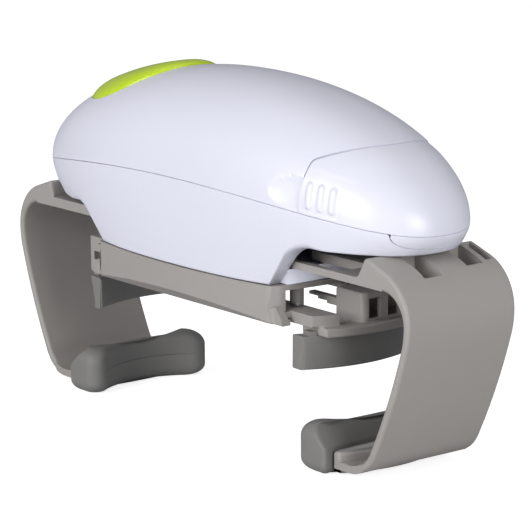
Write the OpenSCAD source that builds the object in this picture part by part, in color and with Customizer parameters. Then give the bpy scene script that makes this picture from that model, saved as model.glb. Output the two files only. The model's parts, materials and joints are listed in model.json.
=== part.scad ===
// Electric jar opener: an egg-shaped housing on two sliding arms that hold the jar,
// over a turntable with two sliding jaws that hold the lid.
// It stands on the rubber pads of its arms. +X points to the battery end, +Z up.

/* [Housing] */
// Length of the housing along its widest line
housing_l = 200; // [190:1:212]
// Width of the housing along its widest line
housing_w = 72; // [70:0.5:78]
// Squareness of the housing seen from above, where 2 is an ellipse
outline_power = 2.4; // [2.2:0.05:2.6]
// Height of the crown above the widest line
crown_h = 32.5; // [31.5:0.5:38]
// Squareness of the crown seen from the side
crown_power = 2.2; // [2:0.05:2.5]
// How far the widest line drops from mid length to the ends
seam_sag = 9.3; // [8:0.1:10.5]
// Depth of the lower shell below the widest line, at mid length
lower_h = 30.2; // [29:0.2:34]
// Height of the skirt's edge above the surface that the opener stands on
skirt_h = 59; // [58:0.5:66]
// Wall of the housing shells
shell_wall = 2.4; // [1.8:0.1:2.6]
// Thickness of the floor that carries the turntable
floor_t = 3; // [2.4:0.1:3.2]
// Width and depth of the groove where two shells meet
seam_groove = 0.4; // [0.2:0.1:0.6]

/* [Start button] */
// Diameter of the round button
button_d = 46.4; // [42:0.2:48]
// Distance from mid length back to the middle of the button
button_back = 51; // [49:0.5:52]
// How far the button stands out of the crown
button_proud = 2.4; // [1.5:0.1:3]
// Travel of the button
button_travel = 1.5; // [1:0.1:1.8]

/* [Battery cover] */
// Distance from mid length to the cover's seam at the sides
cover_side_x = 64.2; // [62:0.2:66]
// Distance from mid length to the cover's seam on top
cover_top_x = 74; // [72:0.2:76]
// Diameter of a battery
battery_d = 14.2; // [13.5:0.1:14.4]
// Length of a battery without its button
battery_l = 48.5; // [44:0.5:49]

/* [Jar arms] */
// Width of the arm band
arm_w = 45.2; // [40:0.2:45.6]
// Thickness of the arm band
arm_t = 2.6; // [2.2:0.1:3]
// Reach of an open arm from mid length to its outermost face
arm_reach = 108.3; // [107.5:0.1:112]
// Travel of each arm
arm_travel = 32; // [20:1:32]
// Outer radius of the arm's shoulder
shoulder_r = 17; // [15:0.5:18]
// Outer radius of the bend below the shoulder
bend_r = 28; // [24:1:34]
// Outer radius of the long leg of the arm
leg_r = 215; // [190:5:240]
// Pitch radius of the arm pinion, which sets where the racks run
arm_pinion_r = 12; // [12:1:12]
// Distance from the outside of the arm to the inner face of its knuckle
knuckle_back = 23; // [22:0.1:25]
// Outer radius of the curl at the arm's foot
curl_r = 13.2; // [11:0.1:16]
// Height of the jar pads
jar_pad_h = 17.2; // [14:0.2:19]
// Depth of a jar pad at its foot
jar_pad_deep = 8; // [7:0.2:8.6]
// Radius of the pads' hollow grip faces
jar_grip_r = 33; // [30:0.5:36]
// Distance from the middle of the arm's curl back to the pad's grip face
jar_grip_back = 13; // [11:0.5:15]

/* [Turntable] */
// Depth of the turntable below the skirt
turntable_h = 12.5; // [12:0.1:13.5]
// Half width of the turntable at mid length
turntable_half_w = 33; // [32.5:0.1:34]
// Half width of the turntable at its ends
turntable_end_w = 28; // [27.5:0.1:29]
// Half length of the turntable
turntable_half_l = 51.5; // [50:0.1:52.5]
// Outer radius of the turntable's hub
hub_r = 8; // [7.6:0.1:8.2]
// Radius of the jaw shaft in the hub
shaft_r = 3; // [2:0.1:4]

/* [Lid jaws] */
// Travel of each lid jaw
jaw_travel = 40; // [25:1:40]
// Half width of the lid pads
lid_pad_half_w = 24.3; // [20:0.1:24.8]
// How far a lid pad reaches past its jaw at each end
lid_pad_past = 1.8; // [0.5:0.1:3]
// Radius of the lid pads' hollow grip faces
lid_grip_r = 45; // [40:0.5:50]
// Distance from mid length to the middle of an open lid pad's grip face
lid_grip_x = 60.5; // [60:0.1:61.5]
// Thickness of a lid pad
lid_pad_t = 5.5; // [4:0.1:6]
// Height of a lid pad
lid_pad_h = 11.5; // [9:0.1:12]
// Thickness of the jaw's base plate
jaw_base_t = 3; // [2.4:0.1:3.2]

/* [Gears] */
// Module of the jaw and reduction gears
gear_module = 0.8; // [0.8:0.1:0.8]
// Module of the arm pinion and its racks
rack_module = 1; // [1:0.1:1]
// Play between meshing teeth
backlash = 0.16; // [0.1:0.02:0.24]

/* [Fits] */
// Gap between parts that slide or turn close to each other
gap = 0.3; // [0.25:0.05:0.4]
// Gap around a running shaft, on its radius
running_gap = 0.06; // [0.04:0.01:0.08]

/* [Hidden] */
$fn = 64;
EPS = 0.01;

white = "#e3e4f0";
lime = "#c3da3e";
grey = "#9d9995";
rubber = "#747576";
steel = "#b9bcc0";
brass = "#c8a85a";
nylon = "#e9e4d4";

// ---- Form of the housing ----
columns = 56;              // points round a shell
crown_rings = 9;           // rings of the crown from the widest line to the top
lower_rings = 7;           // rings from the widest line down to the skirt
seam_h = skirt_h + lower_h;
half_l = housing_l / 2;
half_w = housing_w / 2;
skirt_l_share = 0.76;      // length of the skirt's outline as a share of the widest line
skirt_w_share = 0.917;     // width of the skirt's outline as a share of the widest line
lower_bulge = 1.5;         // how late the lower shell turns inwards

function signed_power(v, p) = sign(v) * pow(abs(v), p);
function seam_z(x) = seam_h - seam_sag * pow(x / half_l, 2);

// A point of the widest line, drawn in by inset
function outline(a, inset = 0) = [
    (half_l - inset) * signed_power(cos(a), 2 / outline_power),
    (half_w - inset) * signed_power(sin(a), 2 / outline_power)];

// A ring of the crown at climb, 0 on the widest line and 90 at the top
function crown_ring(climb, inset) = [for (i = [0 : columns - 1])
    let (p = outline(360 * i / columns, inset), c = cos(climb))
    [p[0] * c, p[1] * c,
        seam_z(p[0] * c) + (crown_h - inset) * pow(sin(climb), 2 / crown_power)]];

// A flat-sided ring on the widest line, moved down by drop
function seam_ring(drop, inset) = [for (i = [0 : columns - 1])
    let (p = outline(360 * i / columns, inset)) [p[0], p[1], seam_z(p[0]) - drop]];

// A ring of the lower shell at depth share v, 0 on the widest line and 1 at the skirt
function lower_ring(v, inset, bottom) = [for (i = [0 : columns - 1])
    let (p = outline(360 * i / columns, inset), s = pow(v, lower_bulge))
    [p[0] * (1 - (1 - skirt_l_share) * s), p[1] * (1 - (1 - skirt_w_share) * s),
        seam_z(p[0]) * (1 - v) + bottom * v]];

// Closes rings into a solid, lowest ring first: both ends are closed in strips across
// the part, so a curved rim closes flat from side to side
module loft(rings) {
    n = len(rings[0]);
    m = len(rings);
    sides = [for (k = [0 : m - 2], i = [0 : n - 1])
        let (a = k * n + i, b = k * n + (i + 1) % n)
        each [[a, a + n, b], [b, a + n, b + n]]];
    first = strip_cap(0, n, false);
    last = strip_cap((m - 1) * n, n, true);
    polyhedron(points = [for (r = rings) each r], faces = concat(sides, first, last));
}

// Triangles across a ring whose points i and n - i mirror each other
function strip_cap(base, n, flip) = [for (i = [0 : n / 2 - 1])
    let (a = base + i, b = base + i + 1,
        c = base + (n - i - 1) % n, d = base + (n - i) % n)
    for (t = i == 0 ? [[a, b, c]] : i == n / 2 - 1 ? [[a, b, d]] : [[a, b, c], [a, c, d]])
        flip ? [t[0], t[2], t[1]] : t];

module crown_body(inset, drop) {
    climbs = [for (k = [0 : crown_rings - 1]) 90 * (1 - pow(1 - k / crown_rings, 1.25))];
    loft([if (drop > 0) seam_ring(drop, inset), each [for (c = climbs) crown_ring(c, inset)],
        crown_ring(88.5, inset)]);
}

module lower_body(inset, bottom, rise) {
    loft([each [for (k = [lower_rings : -1 : 0]) lower_ring(k / lower_rings, inset, bottom)],
        if (rise > 0) seam_ring(-rise, inset)]);
}

// ---- Where the arms and the gears run ----
arm_gap = 2.6;                         // space between the floor and the arm plates
floor_z = skirt_h + floor_t;
arm_z = floor_z + arm_gap;             // underside of the arm plates
arm_plate_t = 2.4;
rack_h = 3.4;                          // height of the arm racks
tunnel_half_w = arm_w / 2 + 2 * gap + 0.2;
knuckle_x = arm_reach - knuckle_back;  // inner face of the arm's knuckle, open
knuckle_h = 10.2;                      // knuckle's top above the plate's underside
tunnel_top = arm_z + knuckle_h + 1.9;
tunnel_lid_t = 2;
arch_r = 15.5;                         // arched ends of the skirt
arch_x = turntable_half_l - 1 + arch_r;
arch_top = skirt_h - 1 + arch_r;
nose_x = 92;                           // where the closed nose starts
hub_gap = running_gap;

module mirror_x() { children(); mirror([1, 0, 0]) children(); }
module turned() { rotate([0, 0, 180]) children(); }
module box3(x0, x1, y0, y1, z0, z1) {
    translate([x0, y0, z0]) cube([x1 - x0, y1 - y0, z1 - z0]);
}

// Extrudes an outline drawn in X and Z along Y, over the whole width w
module along_y(w) { translate([0, w / 2, 0]) rotate([90, 0, 0]) linear_extrude(w) children(); }

// ---- Gears ----
pressure = 20;
addendum = 0.9;       // in modules
dedendum = 1.15;      // in modules
flank_steps = 3;

function involute_deg(r, base_r) =
    let (a = acos(min(1, base_r / r))) tan(a) * 180 / PI - a;

// Half the angle that a tooth takes at radius r
function half_tooth(r, teeth, m) =
    let (pitch_r = teeth * m / 2, base_r = pitch_r * cos(pressure))
    90 / teeth - backlash / 4 / pitch_r * 180 / PI
        + involute_deg(pitch_r, base_r) - involute_deg(max(r, base_r), base_r);

function polar(r, a) = [r * cos(a), r * sin(a)];

// Outline of a spur gear with a tooth centred on angle phase
module gear_outline(teeth, m, phase) {
    pitch_r = teeth * m / 2;
    low_r = max(pitch_r * cos(pressure), pitch_r - dedendum * m);
    root_r = pitch_r - dedendum * m;
    radii = [for (k = [0 : flank_steps]) low_r + (pitch_r + addendum * m - low_r) * k / flank_steps];
    polygon([for (i = [0 : teeth - 1]) let (a = phase + 360 * i / teeth) each concat(
        [polar(root_r, a - half_tooth(low_r, teeth, m))],
        [for (r = radii) polar(r, a - half_tooth(r, teeth, m))],
        [for (k = [flank_steps : -1 : 0]) polar(radii[k], a + half_tooth(radii[k], teeth, m))],
        [polar(root_r, a + half_tooth(low_r, teeth, m))])]);
}

module gear(teeth, m, phase, z0, z1) {
    translate([0, 0, z0]) linear_extrude(z1 - z0) gear_outline(teeth, m, phase);
}

// Rack along X with its pitch line at y, its teeth towards -Y, one centred on x = 0
module rack_outline(m, y, back_y, x0, x1) {
    tip = m * (PI / 4 - addendum * tan(pressure)) - backlash / 4;
    foot = m * (PI / 4 + dedendum * tan(pressure)) - backlash / 4;
    first = ceil((x0 + foot) / (PI * m));
    last = floor((x1 - foot) / (PI * m));
    polygon(concat([[x0, back_y], [x0, y + dedendum * m]],
        [for (i = [first : last]) let (x = i * PI * m) each
            [[x - foot, y + dedendum * m], [x - tip, y - addendum * m],
                [x + tip, y - addendum * m], [x + foot, y + dedendum * m]]],
        [[x1, y + dedendum * m], [x1, back_y]]));
}

// ---- Upper shell, cover and button ----
cover_corner_y = 26;                   // where the cover's seam turns down the side
cover_arc_r = (pow(cover_corner_y, 2) + pow(cover_top_x - cover_side_x, 2))
    / 2 / (cover_top_x - cover_side_x);
recess_l = 12;                         // thumb recess behind the cover
recess_h = 10;
recess_deep = 1.3;
rib_count = 3;                         // grip ribs on the cover
rib_pitch = 5.5;
rib_w = 2.2;
rib_h = 9.4;
rib_proud = 0.9;

// Everything in front of the cover's seam, from above
module cover_outline(shift) {
    difference() {
        translate([cover_side_x + shift, -half_w - 5]) square([half_l, housing_w + 10]);
        translate([cover_top_x - cover_arc_r, 0]) circle(r = cover_arc_r + shift, $fn = 96);
    }
}

module cover_prism(shift) {
    translate([0, 0, skirt_h]) linear_extrude(crown_h + lower_h + 20) cover_outline(shift);
}

// Height of the crown's skin above a point
function crown_z(x, y) =
    let (c = pow(pow(abs(x) / half_l, outline_power) + pow(abs(y) / half_w, outline_power),
        1 / outline_power))
    seam_z(x) + crown_h * pow(1 - min(c, 1) * min(c, 1), 1 / crown_power);

button_points = 48;
button_skin = 4;                       // depth of the button's edge below the crown

function button_ring(inset, lift) = [for (i = [0 : button_points - 1])
    let (p = polar(button_d / 2 - inset, 360 * i / button_points), x = p[0] - button_back)
    [x, p[1], crown_z(x, p[1]) + lift]];

module button_hole() {
    bore([-button_back, 0], button_d / 2, seam_h, seam_h + crown_h + 10, button_points);
}

module thumb_recess() {
    z = seam_z(cover_side_x) + 1.2 + recess_h / 2;
    difference() {
        along_y(housing_w + 10) polygon([for (a = [90 : 10 : 270])
            [cover_side_x + recess_l * cos(a), z + recess_h / 2 * sin(a)]]);
        crown_body(recess_deep, 3);
    }
}

module upper_shell() {
    color(white) difference() {
        union() {
            difference() {
                crown_body(0, 0);
                crown_body(shell_wall, 3);
            }
            intersection() {
                crown_body(shell_wall / 2, 20);
                for (p = shell_screws, s = [-1, 1])
                    bore([p[0], s * p[1]], shell_boss_r, boss_foot_z, boss_foot_z + crown_h + lower_h);
            }
        }
        for (p = shell_screws, s = [-1, 1]) bore([p[0], s * p[1]], screw_r, 0, boss_foot_z + 8);
        cover_prism(0);
        button_hole();
        thumb_recess();
    }
}

module grip_rib(x) {
    z = seam_z(x) + 2.2 + rib_h / 2;
    along_y(housing_w + 10) {
        translate([x, z - rib_h / 2 + rib_w / 2]) circle(d = rib_w);
        translate([x, z + rib_h / 2 - rib_w / 2]) circle(d = rib_w);
        translate([x - rib_w / 2, z - rib_h / 2 + rib_w / 2]) square([rib_w, rib_h - rib_w]);
    }
}

module battery_cover() {
    color(white) difference() {
        union() {
            intersection() { crown_body(0, 0); cover_prism(gap); }
            intersection() {
                crown_body(-rib_proud, 0);
                union() for (i = [0 : rib_count - 1]) grip_rib(cover_side_x + 2.4 + i * rib_pitch);
            }
        }
        crown_body(shell_wall, 3);
    }
}

// Screws that hold the shells together, from under the roofs of the arm tunnels
shell_screws = [[60, 20], [-73.5, 20.4]];
shell_boss_r = 2.9;
boss_foot_z = tunnel_top + tunnel_lid_t;

stem_r = 3.6;
stem_z = crown_z(-button_back, 0) - 8.8;
button_boss_r = 8;
button_boss_z = crown_z(-button_back, 0) - button_skin - 1;

module start_button() {
    color(lime) {
        difference() {
            loft([button_ring(gap, -button_skin), button_ring(gap, 0.4 * button_proud),
                button_ring(gap + 0.5, 0.8 * button_proud), button_ring(gap + 1.6, button_proud),
                button_ring(gap + 9, button_proud + 0.3),
                button_ring(button_d / 2 - 1, button_proud + 0.4)]);
            loft([button_ring(gap + 1.8, -button_skin - 10), button_ring(gap + 1.8, -1),
                button_ring(gap + 9, -0.5), button_ring(button_d / 2 - 1, -0.4)]);
        }
        bore([-button_back, 0], button_boss_r, button_boss_z, button_boss_z + button_skin + 1.4);
        bore([-button_back, 0], stem_r, stem_z, button_boss_z + 1);
    }
}

// ---- Circuit board, switch and button spring ----
board_t = 1.6;
switch_body = 6;
switch_h = 3.6;
switch_tip_h = 0.8;
board_top = stem_z - button_travel - gap - switch_tip_h - switch_h;
board_z = board_top - board_t;
board_x0 = -button_back - 21;
board_x1 = -button_back + 19;
board_post_y = 10;
board_w = 2 * board_post_y + 8;

module circuit_board() {
    color("#2f6b45") difference() {
        box3(board_x0, board_x1, -board_w / 2, board_w / 2, board_z, board_top);
        for (x = [board_post_rear_x, board_post_front_x], s = [-1, 1])
            translate([x, s * board_post_y, board_z - 1]) cylinder(d = 2.2, h = board_t + 2);
    }
}

module tact_switch() {
    color("#3a3a3c") {
        translate([-button_back - switch_body / 2, -switch_body / 2, board_top])
            cube([switch_body, switch_body, switch_h]);
        translate([-button_back, 0, board_top]) cylinder(r = 1.7, h = switch_h + switch_tip_h);
    }
}

spring_r = 6.2;
spring_wire = 0.8;
spring_turns = 4;
spring_sides = 6;
spring_steps = 12;      // per turn

// Wire swept along a helix, one ring of sides after another
module button_spring() {
    z0 = board_top + spring_wire / 2;
    rise = button_boss_z - 0.1 - spring_wire / 2 - z0;
    n = spring_turns * spring_steps;
    points = [for (i = [0 : n], k = [0 : spring_sides - 1])
        let (a = 360 * i / spring_steps, b = 360 * k / spring_sides,
            r = spring_r + spring_wire / 2 * cos(b))
        [-button_back + r * cos(a), r * sin(a), z0 + rise * i / n + spring_wire / 2 * sin(b)]];
    sides = [for (i = [0 : n - 1], k = [0 : spring_sides - 1])
        let (a = i * spring_sides + k, b = i * spring_sides + (k + 1) % spring_sides)
        each [[a, b, a + spring_sides], [b, b + spring_sides, a + spring_sides]]];
    color(steel) polyhedron(points = points, faces = concat(sides,
        [[for (k = [spring_sides - 1 : -1 : 0]) k]],
        [[for (k = [0 : spring_sides - 1]) n * spring_sides + k]]));
}

// ---- Lower shell ----
frame_z = arm_z + 5.6;                 // gear frame above the arm racks
frame_t = 2;
boss_x = 30;
boss_r = 2.6;
boss_y = tunnel_half_w + boss_r;
screw_r = 1.1;
board_post_rear_x = board_x0 + 6;
board_post_front_x = board_x1 - 4;
nose_arc_r = 23.7;                     // lower edge of the nose latch, seen from the front
nose_arc_z = arch_top - 0.6 + nose_arc_r;

// Everything under the arched ends of the skirt
module arch_cut() {
    mirror_x() along_y(housing_w + 20) {
        translate([arch_x, 0]) square([housing_l, arch_top]);
        difference() {
            translate([arch_x - arch_r, skirt_h - 20]) square([arch_r + EPS, arch_top - skirt_h + 20]);
            difference() {
                translate([arch_x - arch_r - 1, skirt_h - 1]) square([arch_r + 1, arch_r + 1]);
                translate([arch_x, skirt_h - 1]) circle(r = arch_r);
            }
        }
    }
}

module nose_tool(shift) {
    translate([nose_x - 2, 0, nose_arc_z]) rotate([0, 90, 0])
        cylinder(r = nose_arc_r - shift, h = 40, $fn = 96);
}

module lower_shell() {
    color(white) difference() {
        union() {
            difference() {
                lower_body(0, skirt_h, 0);
                lower_body(shell_wall, floor_z, 3);
            }
            // roof of the arm tunnels and the closed nose and tail
            intersection() {
                lower_body(0.6, skirt_h, 0);
                union() {
                    mirror_x() box3(46, half_l, -half_w, half_w, tunnel_top, tunnel_top + tunnel_lid_t);
                    mirror_x() box3(nose_x, half_l, -half_w, half_w, arch_top - 1,
                        tunnel_top + tunnel_lid_t);
                    // end walls of the skirt under the arms, and the thick sides of its arches
                    mirror_x() box3(arch_x - arch_r - 3, arch_x, -half_w, half_w,
                        skirt_h, arm_z - gap);
                    mirror_x() for (s = [0, 1]) mirror([0, s, 0])
                        box3(arch_x - arch_r - 3, nose_x + 1, tunnel_half_w - EPS, half_w,
                            skirt_h, tunnel_top + 1);
                }
            }
            // guides beside and under the arms
            for (s = [-1, 1]) {
                box3(-44, 44, s * (tunnel_half_w + 0.8) - 0.8, s * (tunnel_half_w + 0.8) + 0.8,
                    floor_z, arm_z + 3);
                box3(-46, 46, s * 20.8 - 0.8, s * 20.8 + 0.8, floor_z - EPS, arm_z - gap);
            }
            for (x = [-boss_x, boss_x], s = [-1, 1])
                translate([x, s * boss_y, floor_z - EPS]) cylinder(r = boss_r, h = frame_z - floor_z + EPS);
            for (s = [-1, 1]) translate([board_post_rear_x, s * board_post_y, tunnel_top])
                cylinder(r = 2.4, h = board_z - tunnel_top);
        }
        arch_cut();
        mirror_x() box3(44, 110, -tunnel_half_w, tunnel_half_w, arm_z - gap, arch_top - 1 + EPS);
        mirror_x() box3(44, nose_x, -tunnel_half_w, tunnel_half_w, arm_z - gap, tunnel_top);
        translate([0, 0, skirt_h - 1]) cylinder(r = hub_r + hub_gap, h = floor_t + 2);
        for (x = [-boss_x, boss_x], s = [-1, 1])
            translate([x, s * boss_y, floor_z]) cylinder(r = screw_r, h = 20);
        for (s = [-1, 1]) translate([board_post_rear_x, s * board_post_y, board_z - 8])
            cylinder(d = 2.2, h = 10);
        for (p = shell_screws, s = [-1, 1])
            bore([p[0], s * p[1]], screw_r + 0.2, tunnel_top - 1, boss_foot_z + 1);
        nose_tool(-gap);
    }
}

module nose_latch() {
    color(white) intersection() {
        difference() {
            lower_body(0, skirt_h, 0);
            lower_body(shell_wall + 2, floor_z, 3);
            arch_cut();
        }
        nose_tool(0);
    }
}

// ---- Batteries ----
battery_gap = 0.8;                     // between the two batteries
battery_y = (battery_d + battery_gap) / 2;
tray_z = tunnel_top + tunnel_lid_t;
tray_floor = 1.4;
battery_z = tray_z + tray_floor + battery_d / 2;
tray_wall = 1.4;
contact_t = 0.4;
contact_half_w = battery_d / 2 - 2.6;
spring_room = 2.6;                     // contact springs and the battery's button
tray_x0 = 32.4;
battery_x0 = tray_x0 + tray_wall + contact_t + spring_room / 2;
tray_x1 = battery_x0 + battery_l + spring_room / 2 + contact_t + tray_wall;
tray_half_w = battery_y + battery_d / 2 + 1.6;

module battery_tray() {
    color("#d9dae0") difference() {
        box3(tray_x0, tray_x1, -tray_half_w, tray_half_w, tray_z, battery_z);
        for (s = [-1, 1]) translate([tray_x0 + tray_wall, s * battery_y, battery_z])
            rotate([0, 90, 0]) cylinder(d = battery_d + 0.4, h = tray_x1 - tray_x0 - 2 * tray_wall);
    }
}

// One cell along X, its button towards +X
module battery() {
    rotate([0, 90, 0]) {
        cylinder(d = battery_d, h = battery_l);
        cylinder(d = 5.4, h = battery_l + 1.2);
    }
}

module battery_left() {
    color("#5a5f66") translate([battery_x0, battery_y, battery_z]) battery();
}

module battery_right() {
    color("#5a5f66") translate([battery_x0 + battery_l, -battery_y, battery_z]) turned() battery();
}

module battery_contacts() {
    color(steel) for (s = [-1, 1], x = [tray_x0 + tray_wall, tray_x1 - tray_wall - contact_t]) {
        box3(x, x + contact_t, s * battery_y - contact_half_w, s * battery_y + contact_half_w,
            battery_z - contact_half_w, battery_z + 3);
        spring_side = (s > 0) == (x < 50);
        if (spring_side) translate([x < 50 ? x + contact_t : x, s * battery_y, battery_z])
            rotate([0, x < 50 ? 90 : -90, 0]) difference() {
                cylinder(r = 3, h = spring_room / 2 - 0.05);
                translate([0, 0, -1]) cylinder(r = 2.2, h = spring_room);
            }
    }
}

// ---- Reduction gears ----
drive_teeth = 56;
wheel_2_teeth = 40;
wheel_1_teeth = 32;
small_teeth = 12;
motor_teeth = 10;
function pitch(teeth) = teeth * gear_module / 2;
gear_w = 3;                            // width of the gears' rims
gear_step = 0.9;                       // clear height between gears on different levels
drive_z = frame_z + frame_t + 0.6;
drive_h = 4;
wheel_2_z = drive_z + drive_h + gear_step;
wheel_1_z = wheel_2_z + gear_w + 1;
plate_z = wheel_1_z + gear_w + gear_step;
plate_t = 2;
second_at = [-(pitch(drive_teeth) + pitch(small_teeth)), 0];
first_turn = 30;                       // direction from the second gear to the first
first_at = second_at + polar(pitch(wheel_2_teeth) + pitch(small_teeth), first_turn);
motor_turn = -asin(first_at[1] / (pitch(wheel_1_teeth) + pitch(motor_teeth)));
motor_at = first_at + polar(pitch(wheel_1_teeth) + pitch(motor_teeth), motor_turn);
axle_r = 1.5;
pillar_x = [-43, 25];
pillar_y = 17;
pillar_r = 3;
plate_x0 = pillar_x[0] - pillar_r - 2;
plate_x1 = pillar_x[1] + pillar_r + 2;
plate_half_w = pillar_y + pillar_r + 0.5;
frame_x1 = plate_x1 + 4;
frame_half_w = plate_half_w + 2;
motor_r = 11.9;
motor_h = 26.9;

module bore(at, r, z0, z1, sides = $fn) {
    translate([at[0], at[1], z0]) cylinder(r = r, h = z1 - z0, $fn = sides);
}

module drive_gear() {
    color(nylon) difference() {
        gear(drive_teeth, gear_module, 180, drive_z, drive_z + drive_h);
        intersection() {
            bore([0, 0], hub_r + 0.02, drive_z - 1, drive_z + drive_h + 1);
            box3(-hub_r - 1, hub_r + 1, -hub_flat, hub_flat, drive_z - 1, drive_z + drive_h + 1);
        }
        for (a = [0 : 60 : 300]) rotate(a) bore([15, 0], 4, drive_z - 1, drive_z + drive_h + 1);
    }
}

module second_gear() {
    color(nylon) translate([second_at[0], second_at[1], 0]) difference() {
        union() {
            gear(small_teeth, gear_module, 180 / small_teeth, drive_z, wheel_2_z + EPS);
            gear(wheel_2_teeth, gear_module, first_turn, wheel_2_z, wheel_2_z + gear_w);
        }
        bore([0, 0], axle_r + running_gap, 0, 200);
        for (a = [0 : 60 : 300]) rotate(a) bore([10.2, 0], 2.8, wheel_2_z - 0.5, 200);
    }
}

module first_gear() {
    color(nylon) translate([first_at[0], first_at[1], 0]) difference() {
        union() {
            gear(small_teeth, gear_module, first_turn + 180 + 180 / small_teeth,
                wheel_2_z, wheel_1_z + EPS);
            gear(wheel_1_teeth, gear_module, motor_turn, wheel_1_z, wheel_1_z + gear_w);
        }
        bore([0, 0], axle_r + running_gap, 0, 200);
    }
}

module motor_pinion() {
    color(brass) translate([motor_at[0], motor_at[1], 0]) {
        gear(motor_teeth, gear_module, motor_turn + 180 + 180 / motor_teeth,
            wheel_1_z - 0.2, plate_z - 0.4);
        bore([0, 0], 1, wheel_1_z, plate_z + plate_t);
    }
}

module gear_axles() {
    color(steel) {
        bore(second_at, axle_r, frame_z, plate_z + plate_t);
        bore(first_at, axle_r, wheel_2_z - 0.5, plate_z + plate_t);
        bore(first_at, axle_r + 1, wheel_2_z - 0.6, wheel_2_z - 0.1);
    }
}

module gear_frame() {
    color("#cfd0d4") difference() {
        union() {
            box3(plate_x0, frame_x1, -frame_half_w, frame_half_w, frame_z, frame_z + frame_t);
            for (x = [-boss_x, boss_x]) {
                box3(x - boss_r, x + boss_r, -boss_y, boss_y, frame_z, frame_z + frame_t);
                for (s = [-1, 1]) bore([x, s * boss_y], boss_r, frame_z, frame_z + frame_t);
            }
            for (s = [-1, 1])
                box3(-36, frame_x1, s * 20.8 - 0.8, s * 20.8 + 0.8, arm_z + rack_h + gap, frame_z + EPS);
            for (x = pillar_x, s = [-1, 1]) bore([x, s * pillar_y], pillar_r, frame_z, plate_z);
        }
        bore([0, 0], hub_r + hub_gap, frame_z - 1, frame_z + 10);
        bore(second_at, axle_r + 0.02, frame_z - 1, frame_z + 10);
        for (x = [-boss_x, boss_x], s = [-1, 1]) bore([x, s * boss_y], screw_r + 0.3, 0, 200);
        for (x = pillar_x, s = [-1, 1]) bore([x, s * pillar_y], screw_r, plate_z - 8, 200);
    }
}

module motor_plate() {
    color("#cfd0d4") difference() {
        union() {
            box3(plate_x0, plate_x1, -plate_half_w, plate_half_w, plate_z, plate_z + plate_t);
            for (s = [-1, 1]) bore([board_post_front_x, s * board_post_y], 2.4, plate_z, board_z);
        }
        bore(motor_at, 3.1, 0, 200);
        bore(second_at, axle_r + 0.02, 0, 200);
        bore(first_at, axle_r + 0.02, 0, 200);
        for (x = pillar_x, s = [-1, 1]) bore([x, s * pillar_y], screw_r + 0.3, 0, 200);
        for (s = [-1, 1]) bore([board_post_front_x, s * board_post_y], 1.1, board_z - 8, 200);
    }
}

module drive_motor() {
    color(steel) difference() {
        union() {
            intersection() {
                bore(motor_at, motor_r, plate_z + plate_t, plate_z + plate_t + motor_h);
                box3(-50, 50, -motor_r + 2, motor_r - 2, 0, 200);
            }
            bore(motor_at, 3, plate_z + 0.1, plate_z + plate_t + 1);
            bore(motor_at, 5, plate_z + plate_t, plate_z + plate_t + motor_h + 1.2);
        }
        bore(motor_at, 1 + running_gap, 0, plate_z + plate_t + 1);
    }
}

// A pan-head screw whose head stands on z and whose shank goes down
module screw(at, z, shank, r) {
    bore(at, r, z - shank, z + EPS);
    bore(at, 2 * r, z, z + 1.2);
}

module gearbox_screws() {
    color(steel) {
        for (x = [-boss_x, boss_x], s = [-1, 1])
            screw([x, s * boss_y], frame_z + frame_t, frame_t + 5, screw_r);
        for (x = pillar_x, s = [-1, 1])
            screw([x, s * pillar_y], plate_z + plate_t, plate_t + 5, screw_r);
        for (s = [-1, 1]) {
            screw([board_post_rear_x, s * board_post_y], board_top, 6, 1.1);
            screw([board_post_front_x, s * board_post_y], board_top, 6, 1.1);
        }
    }
}

module housing_screws() {
    color(steel) for (p = shell_screws, s = [-1, 1]) {
        bore([p[0], s * p[1]], screw_r, tunnel_top - EPS, boss_foot_z + 6);
        bore([p[0], s * p[1]], 2 * screw_r, tunnel_top - 1.2, tunnel_top);
    }
}

// ---- Turntable ----
turntable_z1 = skirt_h - gap;
turntable_z0 = turntable_z1 - turntable_h;
turntable_top_t = 1.7;
channel_z = turntable_z1 - turntable_top_t;
jaw_half_w = lid_pad_half_w - lid_pad_past;
channel_half_w = jaw_half_w + 1.1;
groove_deep = 1.4;
fin_t = 2;
slide_gap = 0.3;
slider_z = channel_z - 3.8;            // underside of the jaw sliders
slider_t = 3.4;
bar_z = turntable_z0 + 0.5;            // underside of the jaws' guide bars
bar_h = 3.8;
side_arc_r = (pow(turntable_half_l, 2) + pow(turntable_half_w - turntable_end_w, 2))
    / 2 / (turntable_half_w - turntable_end_w);
end_bulge = 2.5;
end_arc_r = (pow(turntable_end_w, 2) + pow(end_bulge, 2)) / 2 / end_bulge;
corner_r = norm([turntable_half_l - end_bulge, turntable_end_w]) - 0.8;
hub_flat = 7.2;
hub_top = drive_z + drive_h + 0.4;
ring_z = floor_z + gap;
ring_t = 1.2;
post_x = 46;
post_y = 16;
post_r = 2.3;
post_head_t = 0.9;
post_z = bar_z + bar_h + slide_gap + post_head_t;
bevel_h = 4;
toe_l = 1.4;                           // how far the turntable's toes stand out

module turntable_outline() {
    intersection() {
        translate([0, turntable_half_w - side_arc_r]) circle(r = side_arc_r, $fn = 200);
        translate([0, side_arc_r - turntable_half_w]) circle(r = side_arc_r, $fn = 200);
        translate([turntable_half_l - end_arc_r, 0]) circle(r = end_arc_r, $fn = 200);
        translate([end_arc_r - turntable_half_l, 0]) circle(r = end_arc_r, $fn = 200);
        circle(r = corner_r, $fn = 200);
    }
}

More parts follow.
